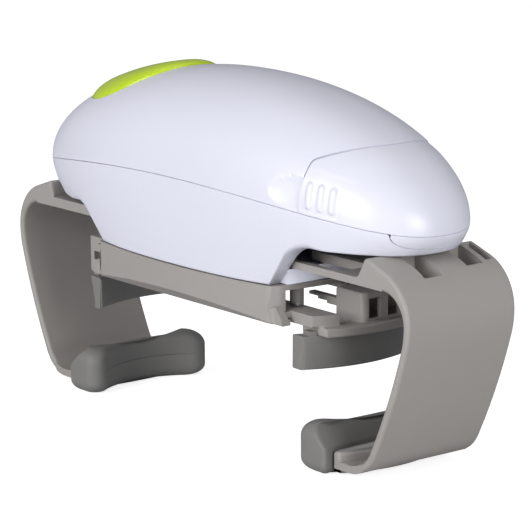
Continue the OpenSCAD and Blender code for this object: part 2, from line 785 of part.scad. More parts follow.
module turntable() {
    color(grey) difference() {
        union() {
            intersection() {
                translate([0, 0, turntable_z0]) linear_extrude(turntable_h) turntable_outline();
                rotate([90, 0, 90]) translate([0, 0, -60]) linear_extrude(120) polygon([
                    [-40, turntable_z1 + 1], [40, turntable_z1 + 1],
                    [turntable_end_w + 7, turntable_z0 + bevel_h + 1.4], [turntable_end_w, turntable_z0],
                    [-turntable_end_w, turntable_z0], [-turntable_end_w - 7, turntable_z0 + bevel_h + 1.4]]);
            }
            // toes at the four corners
            mirror_x() for (s = [-1, 1]) along_y_at(s * (turntable_end_w - 2), 3.6)
                polygon([[turntable_half_l - 10, turntable_z0], [turntable_half_l + toe_l, turntable_z0],
                    [turntable_half_l + toe_l, turntable_z0 + 2], [turntable_half_l - 2, turntable_z0 + 6]]);
            bore([0, 0], hub_r, channel_z, hub_top);
        }
        box3(-60, 60, -channel_half_w, channel_half_w, turntable_z0 - 5, channel_z);
        // grooves in which the jaws' fins run
        for (a = [0, 180]) rotate(a) {
            box3(-26, 60, channel_half_w - EPS, channel_half_w + groove_deep,
                slider_z + 0.8 - slide_gap, slider_z + 0.8 + fin_t + slide_gap);
            box3(-12, 60, -channel_half_w - groove_deep, EPS - channel_half_w,
                bar_z + 1.6 - slide_gap, bar_z + 1.6 + fin_t + slide_gap);
        }
        bore([0, 0], shaft_r + running_gap, 0, 200);
        // flats that drive the hub's gear
        for (s = [-1, 1]) box3(-20, 20, s > 0 ? hub_flat - 0.02 : -20, s > 0 ? 20 : 0.02 - hub_flat,
            drive_z - 0.1, 200);
        // groove of the retaining ring
        difference() {
            bore([0, 0], hub_r + 1, ring_z, ring_z + ring_t + 0.1);
            bore([0, 0], hub_r - 1, ring_z - 1, ring_z + ring_t + 1);
        }
    }
    color(grey) for (a = [0, 180]) rotate(a) difference() {
        bore([post_x, -post_y], post_r, post_z, channel_z + EPS);
        bore([post_x, -post_y], 1, 0, channel_z - 0.5);
    }
}

module along_y_at(y, w) { translate([0, y, 0]) along_y(w) children(); }

module retaining_ring() {
    color(steel) difference() {
        bore([0, 0], hub_r + 3, ring_z, ring_z + ring_t);
        bore([0, 0], hub_r - 0.9, ring_z - 1, ring_z + ring_t + 1);
        box3(-2.5, 2.5, 0, 20, ring_z - 1, ring_z + ring_t + 1);
    }
}

module jaw_screws() {
    color(steel) for (a = [0, 180]) rotate(a) {
        bore([post_x, -post_y], 1, post_z - EPS, channel_z - 1);
        bore([post_x, -post_y], post_r, post_z - post_head_t, post_z);
    }
}

// ---- Lid jaws ----
jaw_pinion_teeth = 20;
jaw_pitch_r = jaw_pinion_teeth * gear_module / 2;
lid_arc_x = lid_grip_x - lid_grip_r;
lid_pad_z1 = bar_z - jaw_base_t;
base_half_w = jaw_half_w - 2.5;
bar_end_r = lid_grip_r + lid_pad_t + 1.2;
base_r0 = lid_grip_r + 1.4;
base_r1 = lid_grip_r + lid_pad_t + 4.4;
tower_x0 = lid_grip_x - 6.5;
tower_x1 = lid_grip_x + 7;
tower_y0 = -6;
tower_y1 = 20;
tower_wall = 1.8;
window_w = 4.8;
window_h = 6.6;
window_z = lid_pad_z1 + jaw_base_t + 1.2;
slider_z1 = slider_z + slider_t;
slot_z = [slider_z - 4.7, slider_z - 1.7];  // slot in the tower's side wall
tab_back = 3.5;                        // how far the wall under the slot stands back

module jaw_pinion() {
    color(nylon) {
        gear(jaw_pinion_teeth, gear_module, 180 / jaw_pinion_teeth, slider_z, slider_z1);
        bore([0, 0], shaft_r, slider_z, hub_top + 0.2);
        bore([0, 0], shaft_r + 1.4, hub_top + 0.15, hub_top + 0.9);
    }
}

// A slice of a ring about the lid pads' centre, over the width of a pad
module pad_slice(centre_x, half_w) {
    intersection() {
        translate([centre_x, 0, 0]) rotate([0, 0, -45]) rotate_extrude(angle = 90, $fn = 120) children();
        box3(0, 120, -half_w, half_w, -10, 100);
    }
}

module front_lid_jaw() {
    color(grey) difference() {
        union() {
            pad_slice(lid_arc_x, base_half_w)
                translate([base_r0, lid_pad_z1]) square([base_r1 - base_r0, jaw_base_t]);
            box3(tower_x0, tower_x1, tower_y0, tower_y1, lid_pad_z1, slider_z1);
            // slider with its rack and its fin
            translate([0, 0, slider_z]) linear_extrude(slider_t)
                rack_outline(gear_module, jaw_pitch_r, 13.2, -7, tower_x0 + 1);
            box3(tower_x0 - 16, tower_x0 + 1, 12, tower_y1, slider_z, slider_z1);
            box3(tower_x0 - 34, tower_x0 + 1, tower_y1 - 2.4, channel_half_w + groove_deep - slide_gap,
                slider_z + 0.8, slider_z + 0.8 + fin_t);
            box3(tower_x0 - 34, tower_x0 + 1, 12, tower_y1, slider_z + 0.8, slider_z + 0.8 + fin_t);
            // stepped rib that steadies the tower, just under the jaw pinion
            for (k = [0 : 2]) box3(tower_x0 - 14 + 4.6 * k, tower_x0 + 1, tower_y0, tower_y0 + 2.4,
                slider_z - slide_gap - 1 - 0.8 * k, slider_z - slide_gap);
            // guide bar on the other side, its end round with the pad
            intersection() {
                box3(tower_x0 - 19, tower_x1, -jaw_half_w, -14, bar_z, bar_z + bar_h);
                bore([lid_arc_x, 0], bar_end_r, bar_z, bar_z + bar_h);
            }
            box3(tower_x0 - 19, tower_x0 - 3, -channel_half_w - groove_deep + slide_gap, -jaw_half_w + 1,
                bar_z + 1.6, bar_z + 1.6 + fin_t);
            box3(tower_x0, tower_x0 + 8, -base_half_w, -14, lid_pad_z1, bar_z + EPS);
        }
        // the tower is open towards the turntable and has windows in its outer face
        box3(tower_x0 - 1, tower_x1 - tower_wall, tower_y0 + tower_wall, tower_y1 - tower_wall,
            lid_pad_z1 + jaw_base_t, slider_z1 - tower_wall);
        for (k = [0 : 2]) box3(tower_x1 - tower_wall - 1, tower_x1 + 1,
            tower_y0 + 2.5 + k * (window_w + 3.2), tower_y0 + 2.5 + k * (window_w + 3.2) + window_w,
            window_z, window_z + window_h);
        box3(tower_x0 - 1, tower_x1 - tower_wall - 2, tower_y1 - tower_wall - EPS, tower_y1 + 1,
            slot_z[0], slot_z[1]);
        box3(tower_x0 - 1, tower_x0 + tab_back, tower_y1 - tower_wall - EPS, tower_y1 + 1,
            lid_pad_z1 + jaw_base_t, slot_z[0] + EPS);
    }
}

// The pad hangs under the jaw's base, and its two ends hook up round it
module front_lid_pad() {
    color(rubber) {
        pad_slice(lid_arc_x, lid_pad_half_w) polygon([
            [lid_grip_r, lid_pad_z1 - 1], [lid_grip_r, lid_pad_z1 - lid_pad_h + 1],
            [lid_grip_r + 1, lid_pad_z1 - lid_pad_h],
            [lid_grip_r + lid_pad_t - 1.6, lid_pad_z1 - lid_pad_h],
            [lid_grip_r + lid_pad_t, lid_pad_z1 - 1], [lid_grip_r + lid_pad_t, lid_pad_z1],
            [lid_grip_r + 1, lid_pad_z1]]);
        difference() {
            pad_slice(lid_arc_x, jaw_half_w) translate([lid_grip_r + 2.4, lid_pad_z1 - 1])
                square([lid_pad_t - 2.4, 2.6]);
            box3(0, 120, -base_half_w - gap, base_half_w + gap, lid_pad_z1, lid_pad_z1 + 5);
        }
    }
}

module rear_lid_jaw() { turned() front_lid_jaw(); }
module rear_lid_pad() { turned() front_lid_pad(); }

// ---- Jar arms ----
arm_pinion_teeth = 2 * arm_pinion_r / rack_module;
lean = 17;                             // lean of the leg where its long arc starts
shoulder_z = arm_z - 10.1;
shoulder_in_r = 10;
arm_foot_z = 2.8;
shoulder_c = [arm_reach - shoulder_r, shoulder_z];
shoulder_in_c = [arm_reach - arm_t - shoulder_in_r, shoulder_z];
bend_c = [arm_reach - bend_r, shoulder_z];
leg_top = bend_c + polar(bend_r, -lean);
leg_c = leg_top - polar(leg_r, -lean);
curl_z = arm_foot_z + curl_r;
curl_c = [leg_c[0] + sqrt(pow(leg_r - curl_r, 2) - pow(leg_c[1] - curl_z, 2)), curl_z];
lean_end = atan2(leg_c[1] - curl_z, curl_c[0] - leg_c[0]);  // lean where the leg curls in
top_slope = 18.3;                      // fall of the knuckle's top towards the shoulder
shoulder_top = shoulder_c + polar(shoulder_r, 90 - top_slope);
knuckle_in = 2;                        // slant of the knuckle's inner face
knuckle_foot_r = 2;                    // fillet between the knuckle and its plate
// Troughs that core the knuckle: two sides, reach past the shoulder's middle and floor
troughs = [[-10.2, -2.4, 10.5, 1.2], [9, 16, 8.7, 2.2], [18, 20.6, 7.8, 2.2]];
trough_back = 3;                       // wall behind the troughs
carrier_r0 = jar_grip_r + 11.2;        // plate that carries the jar pad
carrier_t = 2.6;
carrier_h = 5.7;
pad_round = 2.4;                       // round of the jar pad's top
pad_back_h = 8.6;                      // height of the jar pad's back
pad_foot = 1.2;                        // bevel round the jar pad's foot
tongue_half_w = arm_w / 2 - 2.2;       // tongue that holds the jar pad on its carrier
jar_grip_x = curl_c[0] - jar_grip_back;
jar_arc_x = jar_grip_x - jar_grip_r;
lane_x = 2 * arm_travel + 9;           // where the lane for the other arm's rack ends
rack_back = 18.2;
rack_tip_x = -7;
centre_x0 = arm_travel + arm_pinion_r + 2;

function arc(c, r, a0, a1, n) = [for (k = [0 : n]) c + polar(r, a0 + (a1 - a0) * k / n)];

// Side view of the arm: knuckle, shoulder, leg and the curl at its foot
module arm_profile() {
    polygon(concat(
        [[knuckle_x - knuckle_foot_r, arm_z]],
        arc([knuckle_x - knuckle_foot_r, arm_z + arm_plate_t + knuckle_foot_r], knuckle_foot_r,
            -90, 0, 4),
        [[knuckle_x + knuckle_in, shoulder_top[1]
            + (shoulder_top[0] - knuckle_x - knuckle_in) * tan(top_slope)]],
        arc(shoulder_c, shoulder_r, 90 - top_slope, 0, 18), arc(bend_c, bend_r, -1, -lean, 5),
        arc(leg_c, leg_r, -lean - 1, -lean_end, 6), arc(curl_c, curl_r, -lean_end - 4, -90, 14),
        arc(curl_c, curl_r - arm_t, -90, -lean_end - 4, 14),
        arc(leg_c, leg_r - arm_t, -lean_end, -lean - 1, 6), arc(bend_c, bend_r - arm_t, -lean, -1, 5),
        arc(shoulder_in_c, shoulder_in_r, 0, 90, 18)));
}

module front_jar_arm() {
    color(grey) difference() {
        union() {
            along_y(arm_w) arm_profile();
            // foot plate and the carrier of the jar pad
            difference() {
                box3(jar_arc_x, curl_c[0] + EPS, -arm_w / 2, arm_w / 2, arm_foot_z, arm_foot_z + arm_t);
                translate([jar_arc_x, 0, 0]) cylinder(r = carrier_r0, h = 30, $fn = 120);
            }
            pad_slice(jar_arc_x, arm_w / 2)
                translate([carrier_r0, arm_foot_z]) square([carrier_t, carrier_h]);
            // plate with its lanes
            box3(lane_x, knuckle_x + 1, -arm_w / 2, arm_w / 2, arm_z, arm_z + arm_plate_t);
            box3(centre_x0, lane_x + 1, -10.4, 10.4, arm_z, arm_z + arm_plate_t);
            box3(centre_x0, lane_x + 1, 10, arm_w / 2, arm_z, arm_z + arm_plate_t);
            box3(20, lane_x + 1, -arm_w / 2, -19.3, arm_z, arm_z + arm_plate_t);
            // ribs along the plate
            box3(centre_x0, knuckle_x + 1, -10.4, -8, arm_z, arm_z + rack_h);
            box3(centre_x0, knuckle_x + 1, arm_w / 2 - 2.4, arm_w / 2, arm_z, arm_z + rack_h);
            translate([0, 0, arm_z]) linear_extrude(rack_h)
                rack_outline(rack_module, arm_pinion_r, rack_back, rack_tip_x, centre_x0 + 1);
        }
        // troughs cored into the knuckle from above
        for (t = troughs) box3(knuckle_x + trough_back, shoulder_c[0] + t[2], t[0], t[1],
            arm_z + t[3], arm_z + knuckle_h);
    }
}

// The pad leans back from its round top, and a narrower tongue joins it to the carrier
module front_jar_pad() {
    back_r = jar_grip_r + jar_pad_deep;
    color(rubber) {
        pad_slice(jar_arc_x, arm_w / 2 + 0.3) polygon(concat(
            [[jar_grip_r, pad_foot], [jar_grip_r + pad_foot, 0],
                [back_r - pad_foot, 0], [back_r, pad_foot], [back_r, pad_back_h]],
            arc([jar_grip_r + pad_round, jar_pad_h - pad_round], pad_round, 20, 180, 7)));
        pad_slice(jar_arc_x, tongue_half_w)
            translate([back_r - 0.5, 0.8]) square([carrier_r0 - back_r + 0.5, 7.2]);
    }
}

module rear_jar_arm() { turned() front_jar_arm(); }
module rear_jar_pad() { turned() front_jar_pad(); }

module arm_pinion() {
    color(nylon) difference() {
        gear(arm_pinion_teeth, rack_module, 180 / arm_pinion_teeth, arm_z - 0.6, arm_z + rack_h + 0.4);
        bore([0, 0], hub_r + running_gap, 0, 200);
    }
}

upper_shell();
lower_shell();
nose_latch();
battery_cover();
start_button();
button_spring();
tact_switch();
circuit_board();
battery_tray();
battery_left();
battery_right();
battery_contacts();
gear_frame();
motor_plate();
drive_motor();
motor_pinion();
first_gear();
second_gear();
drive_gear();
gear_axles();
gearbox_screws();
housing_screws();
arm_pinion();
front_jar_arm();
front_jar_pad();
rear_jar_arm();
rear_jar_pad();
turntable();
retaining_ring();
jaw_pinion();
jaw_screws();
front_lid_jaw();
front_lid_pad();
rear_lid_jaw();
rear_lid_pad();
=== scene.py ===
"""Looks of the electric jar opener, built round its packed construction.

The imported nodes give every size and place. The housing, the button and the pads are modelled
again with fine surfaces, and the moulded arms, jaws and turntable are merged copies of their
nodes with rounded edges.
"""

import json
import logging
import math
from dataclasses import dataclass
from enum import Enum
from functools import partial
from typing import Any, Callable, Iterable, Optional

import bpy
import numpy as np
from mathutils import Matrix, Vector


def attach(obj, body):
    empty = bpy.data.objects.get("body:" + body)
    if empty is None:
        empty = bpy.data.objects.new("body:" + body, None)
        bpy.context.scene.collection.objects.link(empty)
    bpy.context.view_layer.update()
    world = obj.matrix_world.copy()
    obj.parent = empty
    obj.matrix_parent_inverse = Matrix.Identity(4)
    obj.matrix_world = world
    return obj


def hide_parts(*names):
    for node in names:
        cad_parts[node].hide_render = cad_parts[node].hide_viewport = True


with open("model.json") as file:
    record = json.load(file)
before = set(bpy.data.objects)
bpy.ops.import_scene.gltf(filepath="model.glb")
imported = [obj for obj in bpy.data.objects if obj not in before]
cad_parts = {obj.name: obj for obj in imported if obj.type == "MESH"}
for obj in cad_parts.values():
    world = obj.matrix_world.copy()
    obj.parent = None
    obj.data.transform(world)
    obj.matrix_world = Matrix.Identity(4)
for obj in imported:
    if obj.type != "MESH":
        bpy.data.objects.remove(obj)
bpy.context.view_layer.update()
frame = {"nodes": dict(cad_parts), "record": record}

log = logging.getLogger("jar_opener")
MM = 0.001
EDGE_R = 0.22      # radius of the shells' own edges, in millimetres
FINE_R = 0.2       # radius of the edges of the latch and the button
MIDDLE_Z = 82.0    # height of the housing's middle, which its faces point away from
TOUCH = 0.1        # an edge this near to a place, in millimetres, counts as there
CLOSE = 0.05       # the same, where edges lie closer together


# ---------------------------------------------------------------- colours and materials

def linear(hex_colour: str) -> tuple[float, float, float, float]:
    """Turn an sRGB hex colour into opaque linear RGBA.

    Args:
        hex_colour: Colour such as "#9d9995".

    Returns:
        Linear red, green, blue and alpha.
    """
    parts = [int(hex_colour[i:i + 2], 16) / 255 for i in (1, 3, 5)]
    red, green, blue = (c / 12.92 if c <= 0.04045 else ((c + 0.055) / 1.055) ** 2.4 for c in parts)
    return red, green, blue, 1.0


def add_node(tree: bpy.types.NodeTree, kind: str, settings: Optional[dict[str, Any]] = None,
             links: Optional[dict[str, Any]] = None) -> bpy.types.Node:
    """Add a shader node with its settings and links.

    Args:
        tree: Node tree that gets the node.
        kind: Blender's type name of the node.
        settings: Values by name: a socket's default, or an attribute of the node.
        links: Output sockets by the name of the input that they feed.

    Returns:
        The new node.
    """
    node = tree.nodes.new(kind)
    for name, value in (settings or {}).items():
        if hasattr(node, name):
            setattr(node, name, value)
        else:
            node.inputs[name].default_value = value
    for name, socket in (links or {}).items():
        tree.links.new(socket, node.inputs[name])
    return node


@dataclass(frozen=True)
class Finish:
    """A moulded or metal surface.

    Attributes:
        name: Name of the material, in a maker's words.
        colour: Main colour as sRGB hex.
        shade: Second colour, for the slow mottling that mouldings have.
        roughness: Roughness of the polished parts.
        metallic: 1 for bare metal.
        ior: Index of refraction of a plastic or rubber.
        grain_mm: Size of the surface grain in millimetres.
        grain_height_mm: Height of the grain in millimetres.
        coat: Weight of a clear gloss on top.
    """

    name: str
    colour: str
    shade: str
    roughness: float
    metallic: float = 0.0
    ior: float = 1.5
    grain_mm: float = 0.5
    grain_height_mm: float = 0.01
    coat: float = 0.0

    def material(self) -> bpy.types.Material:
        """Make the material, or return it if it is there already.

        Returns:
            The material.
        """
        found = bpy.data.materials.get(self.name)
        if found:
            return found
        made = bpy.data.materials.new(self.name)
        made.use_nodes = True
        tree = made.node_tree
        shader = tree.nodes["Principled BSDF"]
        shader.inputs["Metallic"].default_value = self.metallic
        if not self.metallic:
            shader.inputs["IOR"].default_value = self.ior
        shader.inputs["Coat Weight"].default_value = self.coat
        place = add_node(tree, "ShaderNodeTexCoord").outputs["Object"]
        self.paint(tree, shader, place)
        return made

    def paint(self, tree: bpy.types.NodeTree, shader: bpy.types.Node,
              place: bpy.types.NodeSocket) -> None:
        """Link the colour, roughness and grain.

        Args:
            tree: The material's node tree.
            shader: Its principled shader.
            place: Object coordinates, in metres.
        """
        cloud = add_node(tree, "ShaderNodeTexNoise", {"Scale": 1 / (30 * MM), "Detail": 3.0},
                         {"Vector": place})
        tint = add_node(tree, "ShaderNodeMix", {"data_type": "RGBA"},
                        {"Factor": cloud.outputs["Fac"]})
        tint.inputs[6].default_value = linear(self.colour)
        tint.inputs[7].default_value = linear(self.shade)
        tree.links.new(tint.outputs[2], shader.inputs["Base Color"])
        grain = add_node(tree, "ShaderNodeTexNoise",
                         {"Scale": 1 / (self.grain_mm * MM), "Detail": 2.0, "Roughness": 0.6},
                         {"Vector": place})
        dull = add_node(tree, "ShaderNodeMapRange",
                        {"To Min": self.roughness - 0.04, "To Max": self.roughness + 0.06},
                        {"Value": grain.outputs["Fac"]})
        tree.links.new(dull.outputs["Result"], shader.inputs["Roughness"])
        bump = add_node(tree, "ShaderNodeBump",
                        {"Strength": 1.0, "Distance": self.grain_height_mm * MM},
                        {"Height": grain.outputs["Fac"]})
        tree.links.new(bump.outputs["Normal"], shader.inputs["Normal"])


# White ABS from a polished mould: an even satin gloss with a cool tint
WHITE_ABS = Finish("polished_white_abs", "#e0e1ed", "#dcdde9", 0.3, grain_mm=6.0,
                   grain_height_mm=0.002)
# Lime ABS from a polished mould
LIME_ABS = Finish("polished_lime_abs", "#c3dc30", "#bdd72a", 0.24, grain_mm=5.0,
                  grain_height_mm=0.002)
# Grey ABS from a spark-eroded mould: a fine matt grain
GREY_ABS = Finish("textured_grey_abs", "#a09c98", "#9b9793", 0.5, grain_mm=0.35,
                  grain_height_mm=0.02)
# Moulded rubber: dark, soft sheen, a little dusty
RUBBER = Finish("moulded_rubber", "#807f7d", "#787775", 0.6, ior=1.52, grain_mm=0.4,
                grain_height_mm=0.012)
STEEL = Finish("zinc_plated_steel", "#b9bcc0", "#a9acb0", 0.35, metallic=1.0)
BRASS = Finish("turned_brass", "#c8a85a", "#b89a4e", 0.3, metallic=1.0)
ACETAL = Finish("moulded_acetal", "#ece8dc", "#e4dfd0", 0.4)
INNER_ABS = Finish("natural_abs", "#c9cad0", "#c2c3c9", 0.45)
SOLDER_MASK = Finish("green_solder_mask", "#2f6b45", "#2a6240", 0.3)
SWITCH_NYLON = Finish("black_nylon", "#333335", "#2d2d2f", 0.5)
SLEEVE = Finish("printed_steel_sleeve", "#4e5359", "#474b51", 0.35)

SLOT_FINISH = {
    "white_shell": WHITE_ABS, "lime_button": LIME_ABS, "grey_plastic": GREY_ABS, "rubber": RUBBER,
    "steel": STEEL, "brass": BRASS, "nylon": ACETAL, "inner_plastic": INNER_ABS,
    "board": SOLDER_MASK, "switch": SWITCH_NYLON, "battery": SLEEVE,
}


# ---------------------------------------------------------------- modelling helpers

def deselect() -> None:
    """Deselect everything, because an operator acts on all that is selected."""
    bpy.ops.object.select_all(action="DESELECT")
    bpy.context.view_layer.objects.active = None


def activate(piece: bpy.types.Object) -> None:
    """Make a piece the only selected and the active one.

    Args:
        piece: The mesh object.
    """
    deselect()
    piece.select_set(True)
    bpy.context.view_layer.objects.active = piece


def apply_modifiers(piece: bpy.types.Object) -> None:
    """Apply every modifier of a piece, in order.

    Args:
        piece: The mesh object.
    """
    activate(piece)
    for modifier in list(piece.modifiers):
        bpy.ops.object.modifier_apply(modifier=modifier.name)


def dress(piece: bpy.types.Object, finish: Finish, body: str,
          replaces: Iterable[str] = ()) -> bpy.types.Object:
    """Give a finished piece its material and body, and hide the nodes that it stands for.

    Args:
        piece: The mesh object.
        finish: Its finish.
        body: Body of the frame that it moves with.
        replaces: Nodes that it stands for.

    Returns:
        The piece.
    """
    piece.data.materials.clear()
    piece.data.materials.append(finish.material())
    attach(piece, body)
    names = list(replaces)
    if names:
        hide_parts(*names)
    log.info("%s: %d faces, rides on %s", piece.name, len(piece.data.polygons), body)
    return piece


def vertex_places(piece: bpy.types.Object) -> np.ndarray:
    """Return a piece's vertices in millimetres, one row each.

    Args:
        piece: The mesh object.

    Returns:
        The places, one row each.
    """
    flat = np.empty(len(piece.data.vertices) * 3)
    piece.data.vertices.foreach_get("co", flat)
    return flat.reshape(-1, 3) / MM


def edit_all(piece: bpy.types.Object, *steps: Callable[[], Any]) -> None:
    """Run edit-mode operators on a piece, each with all of it selected.

    Args:
        piece: The mesh object.
        steps: Calls of the operators, in order.
    """
    activate(piece)
    bpy.ops.object.mode_set(mode="EDIT")
    for step in steps:
        bpy.ops.mesh.select_all(action="SELECT")
        step()
    bpy.ops.object.mode_set(mode="OBJECT")


def face_outwards() -> None:
    """Turn the selected faces of the piece in edit mode outwards."""
    bpy.ops.mesh.normals_make_consistent(inside=False)


def cut_off(piece: bpy.types.Object, *planes: tuple[Vector, Vector]) -> None:
    """Cut away what lies beyond some planes, and close the cuts.

    Args:
        piece: The mesh object.
        planes: A point in millimetres and the direction of what goes, for each plane.
    """
    edit_all(piece, *(partial(bpy.ops.mesh.bisect, plane_co=point * MM, plane_no=away,
                              use_fill=True, clear_outer=True) for point, away in planes))


def shade(piece: bpy.types.Object, smooth_deg: float) -> None:
    """Shade a piece smoothly where its faces meet at less than an angle."""
    activate(piece)
    bpy.ops.object.shade_smooth_by_angle(angle=math.radians(smooth_deg))


def merged_copy(node: str, name: str, smooth_deg: float = 30.0) -> bpy.types.Object:
    """Copy a node's mesh, merge its loose triangles and dissolve flat stretches.

    Args:
        node: Name of the node.
        name: Name of the new piece.
        smooth_deg: Faces that meet at less than this angle shade as one.

    Returns:
        The new mesh object.
    """
    piece = bpy.data.objects.new(name, frame["nodes"][node].data.copy())
    bpy.context.scene.collection.objects.link(piece)
    activate(piece)
    bpy.ops.mesh.customdata_custom_splitnormals_clear()
    edit_all(piece, partial(bpy.ops.mesh.remove_doubles, threshold=0.004 * MM),
             partial(bpy.ops.mesh.dissolve_limited, angle_limit=math.radians(0.4)))
    shade(piece, smooth_deg)
    return piece


def round_edges(piece: bpy.types.Object, radius: float, segments: int,
                where: Callable[[np.ndarray, np.ndarray], bool], sharp_deg: float = 40.0) -> None:
    """Bevel the sharp edges of a piece that lie in one place.

    Args:
        piece: The mesh object.
        radius: Offset of the bevel in millimetres.
        segments: Steps across the bevel.
        where: Test on an edge's two ends in millimetres.
        sharp_deg: Least angle between an edge's two faces.
    """
    activate(piece)
    places = vertex_places(piece)
    bpy.ops.object.mode_set(mode="EDIT")
    bpy.ops.mesh.select_mode(type="EDGE")
    bpy.ops.mesh.select_all(action="DESELECT")
    bpy.ops.mesh.edges_select_sharp(sharpness=math.radians(sharp_deg))
    bpy.ops.object.mode_set(mode="OBJECT")
    chosen = 0
    for edge in piece.data.edges:
        a, b = edge.vertices
        edge.select = edge.select and bool(where(places[a], places[b]))
        chosen += edge.select
    for vertex in piece.data.vertices:
        vertex.select = False
    for face in piece.data.polygons:
        face.select = False
    bpy.ops.object.mode_set(mode="EDIT")
    bpy.ops.mesh.bevel(offset=radius * MM, segments=segments, affect="EDGES",
                       clamp_overlap=False, loop_slide=True)
    bpy.ops.object.mode_set(mode="OBJECT")
    log.info("%s: %d edges rounded by %.2f mm", piece.name, chosen, radius)


def resample(line: np.ndarray, count: int, grade: float = 1.0) -> np.ndarray:
    """Place points along a polyline, evenly or drawing closer towards its end.

    Args:
        line: Points of the polyline, one row each.
        count: Number of points wanted.
        grade: 1 for even steps, more for short steps at the end.

    Returns:
        The new points.
    """
    run = np.concatenate([[0.0], np.cumsum(np.linalg.norm(np.diff(line, axis=0), axis=1))])
    wanted = run[-1] * (1 - (1 - np.linspace(0, 1, count)) ** grade)
    return np.stack([np.interp(wanted, run, line[:, k]) for k in range(3)], axis=1)


def drape(name: str, table: np.ndarray) -> bpy.types.Object:
    """Add a grid and lay it over a surface.

    Args:
        name: Name of the new piece.
        table: Places in millimetres, indexed by column, row and axis.

    Returns:
        The new mesh object, its doubles merged and its faces turned away from mid height.
    """
    columns, rows = table.shape[:2]
    deselect()
    bpy.ops.mesh.primitive_grid_add(x_subdivisions=columns - 1, y_subdivisions=rows - 1, size=2)
    piece = bpy.context.active_object
    piece.name = name
    flat = vertex_places(piece) * MM
    i = np.rint((flat[:, 0] + 1) / 2 * (columns - 1)).astype(int)
    j = np.rint((flat[:, 1] + 1) / 2 * (rows - 1)).astype(int)
    piece.data.vertices.foreach_set("co", (table[i, j] * MM).ravel())
    piece.data.update()
    edit_all(piece, partial(bpy.ops.mesh.remove_doubles, threshold=0.01 * MM), face_outwards)
    middle = Vector((0, 0, MIDDLE_Z * MM))
    outward = sum(f.normal.dot((f.center - middle).normalized()) * f.area
                  for f in piece.data.polygons)
    if outward < 0:
        piece.data.flip_normals()
    return piece


def give_wall(piece: bpy.types.Object, wall: float, edge: float, smooth_deg: float = 50.0) -> None:
    """Turn a draped sheet into a moulded shell with soft edges.

    Args:
        piece: The sheet.
        wall: Thickness of the wall in millimetres, inwards.
        edge: Radius of the edges in millimetres.
        smooth_deg: Faces that meet at less than this angle shade as one.
    """
    solid = piece.modifiers.new("wall", "SOLIDIFY")
    solid.thickness = wall * MM
    solid.offset = -1
    soften = piece.modifiers.new("edges", "BEVEL")
    soften.width = edge * MM
    soften.segments = 2
    soften.limit_method = "ANGLE"
    soften.angle_limit = math.radians(55)
    soften.use_clamp_overlap = True
    apply_modifiers(piece)
    shade(piece, smooth_deg)


def soft_step(value: np.ndarray, low: float, high: float) -> np.ndarray:
    """Rise smoothly from 0 at low to 1 at high."""
    t = np.clip((value - low) / (high - low), 0, 1)
    return t * t * (3 - 2 * t)


class End(Enum):
    """The two ends of the opener, by the sign of X."""

    FRONT = 1
    REAR = -1

    @property
    def word(self) -> str:
        """Return the end's name as the nodes use it."""
        return self.name.lower()


# ---------------------------------------------------------------- housing

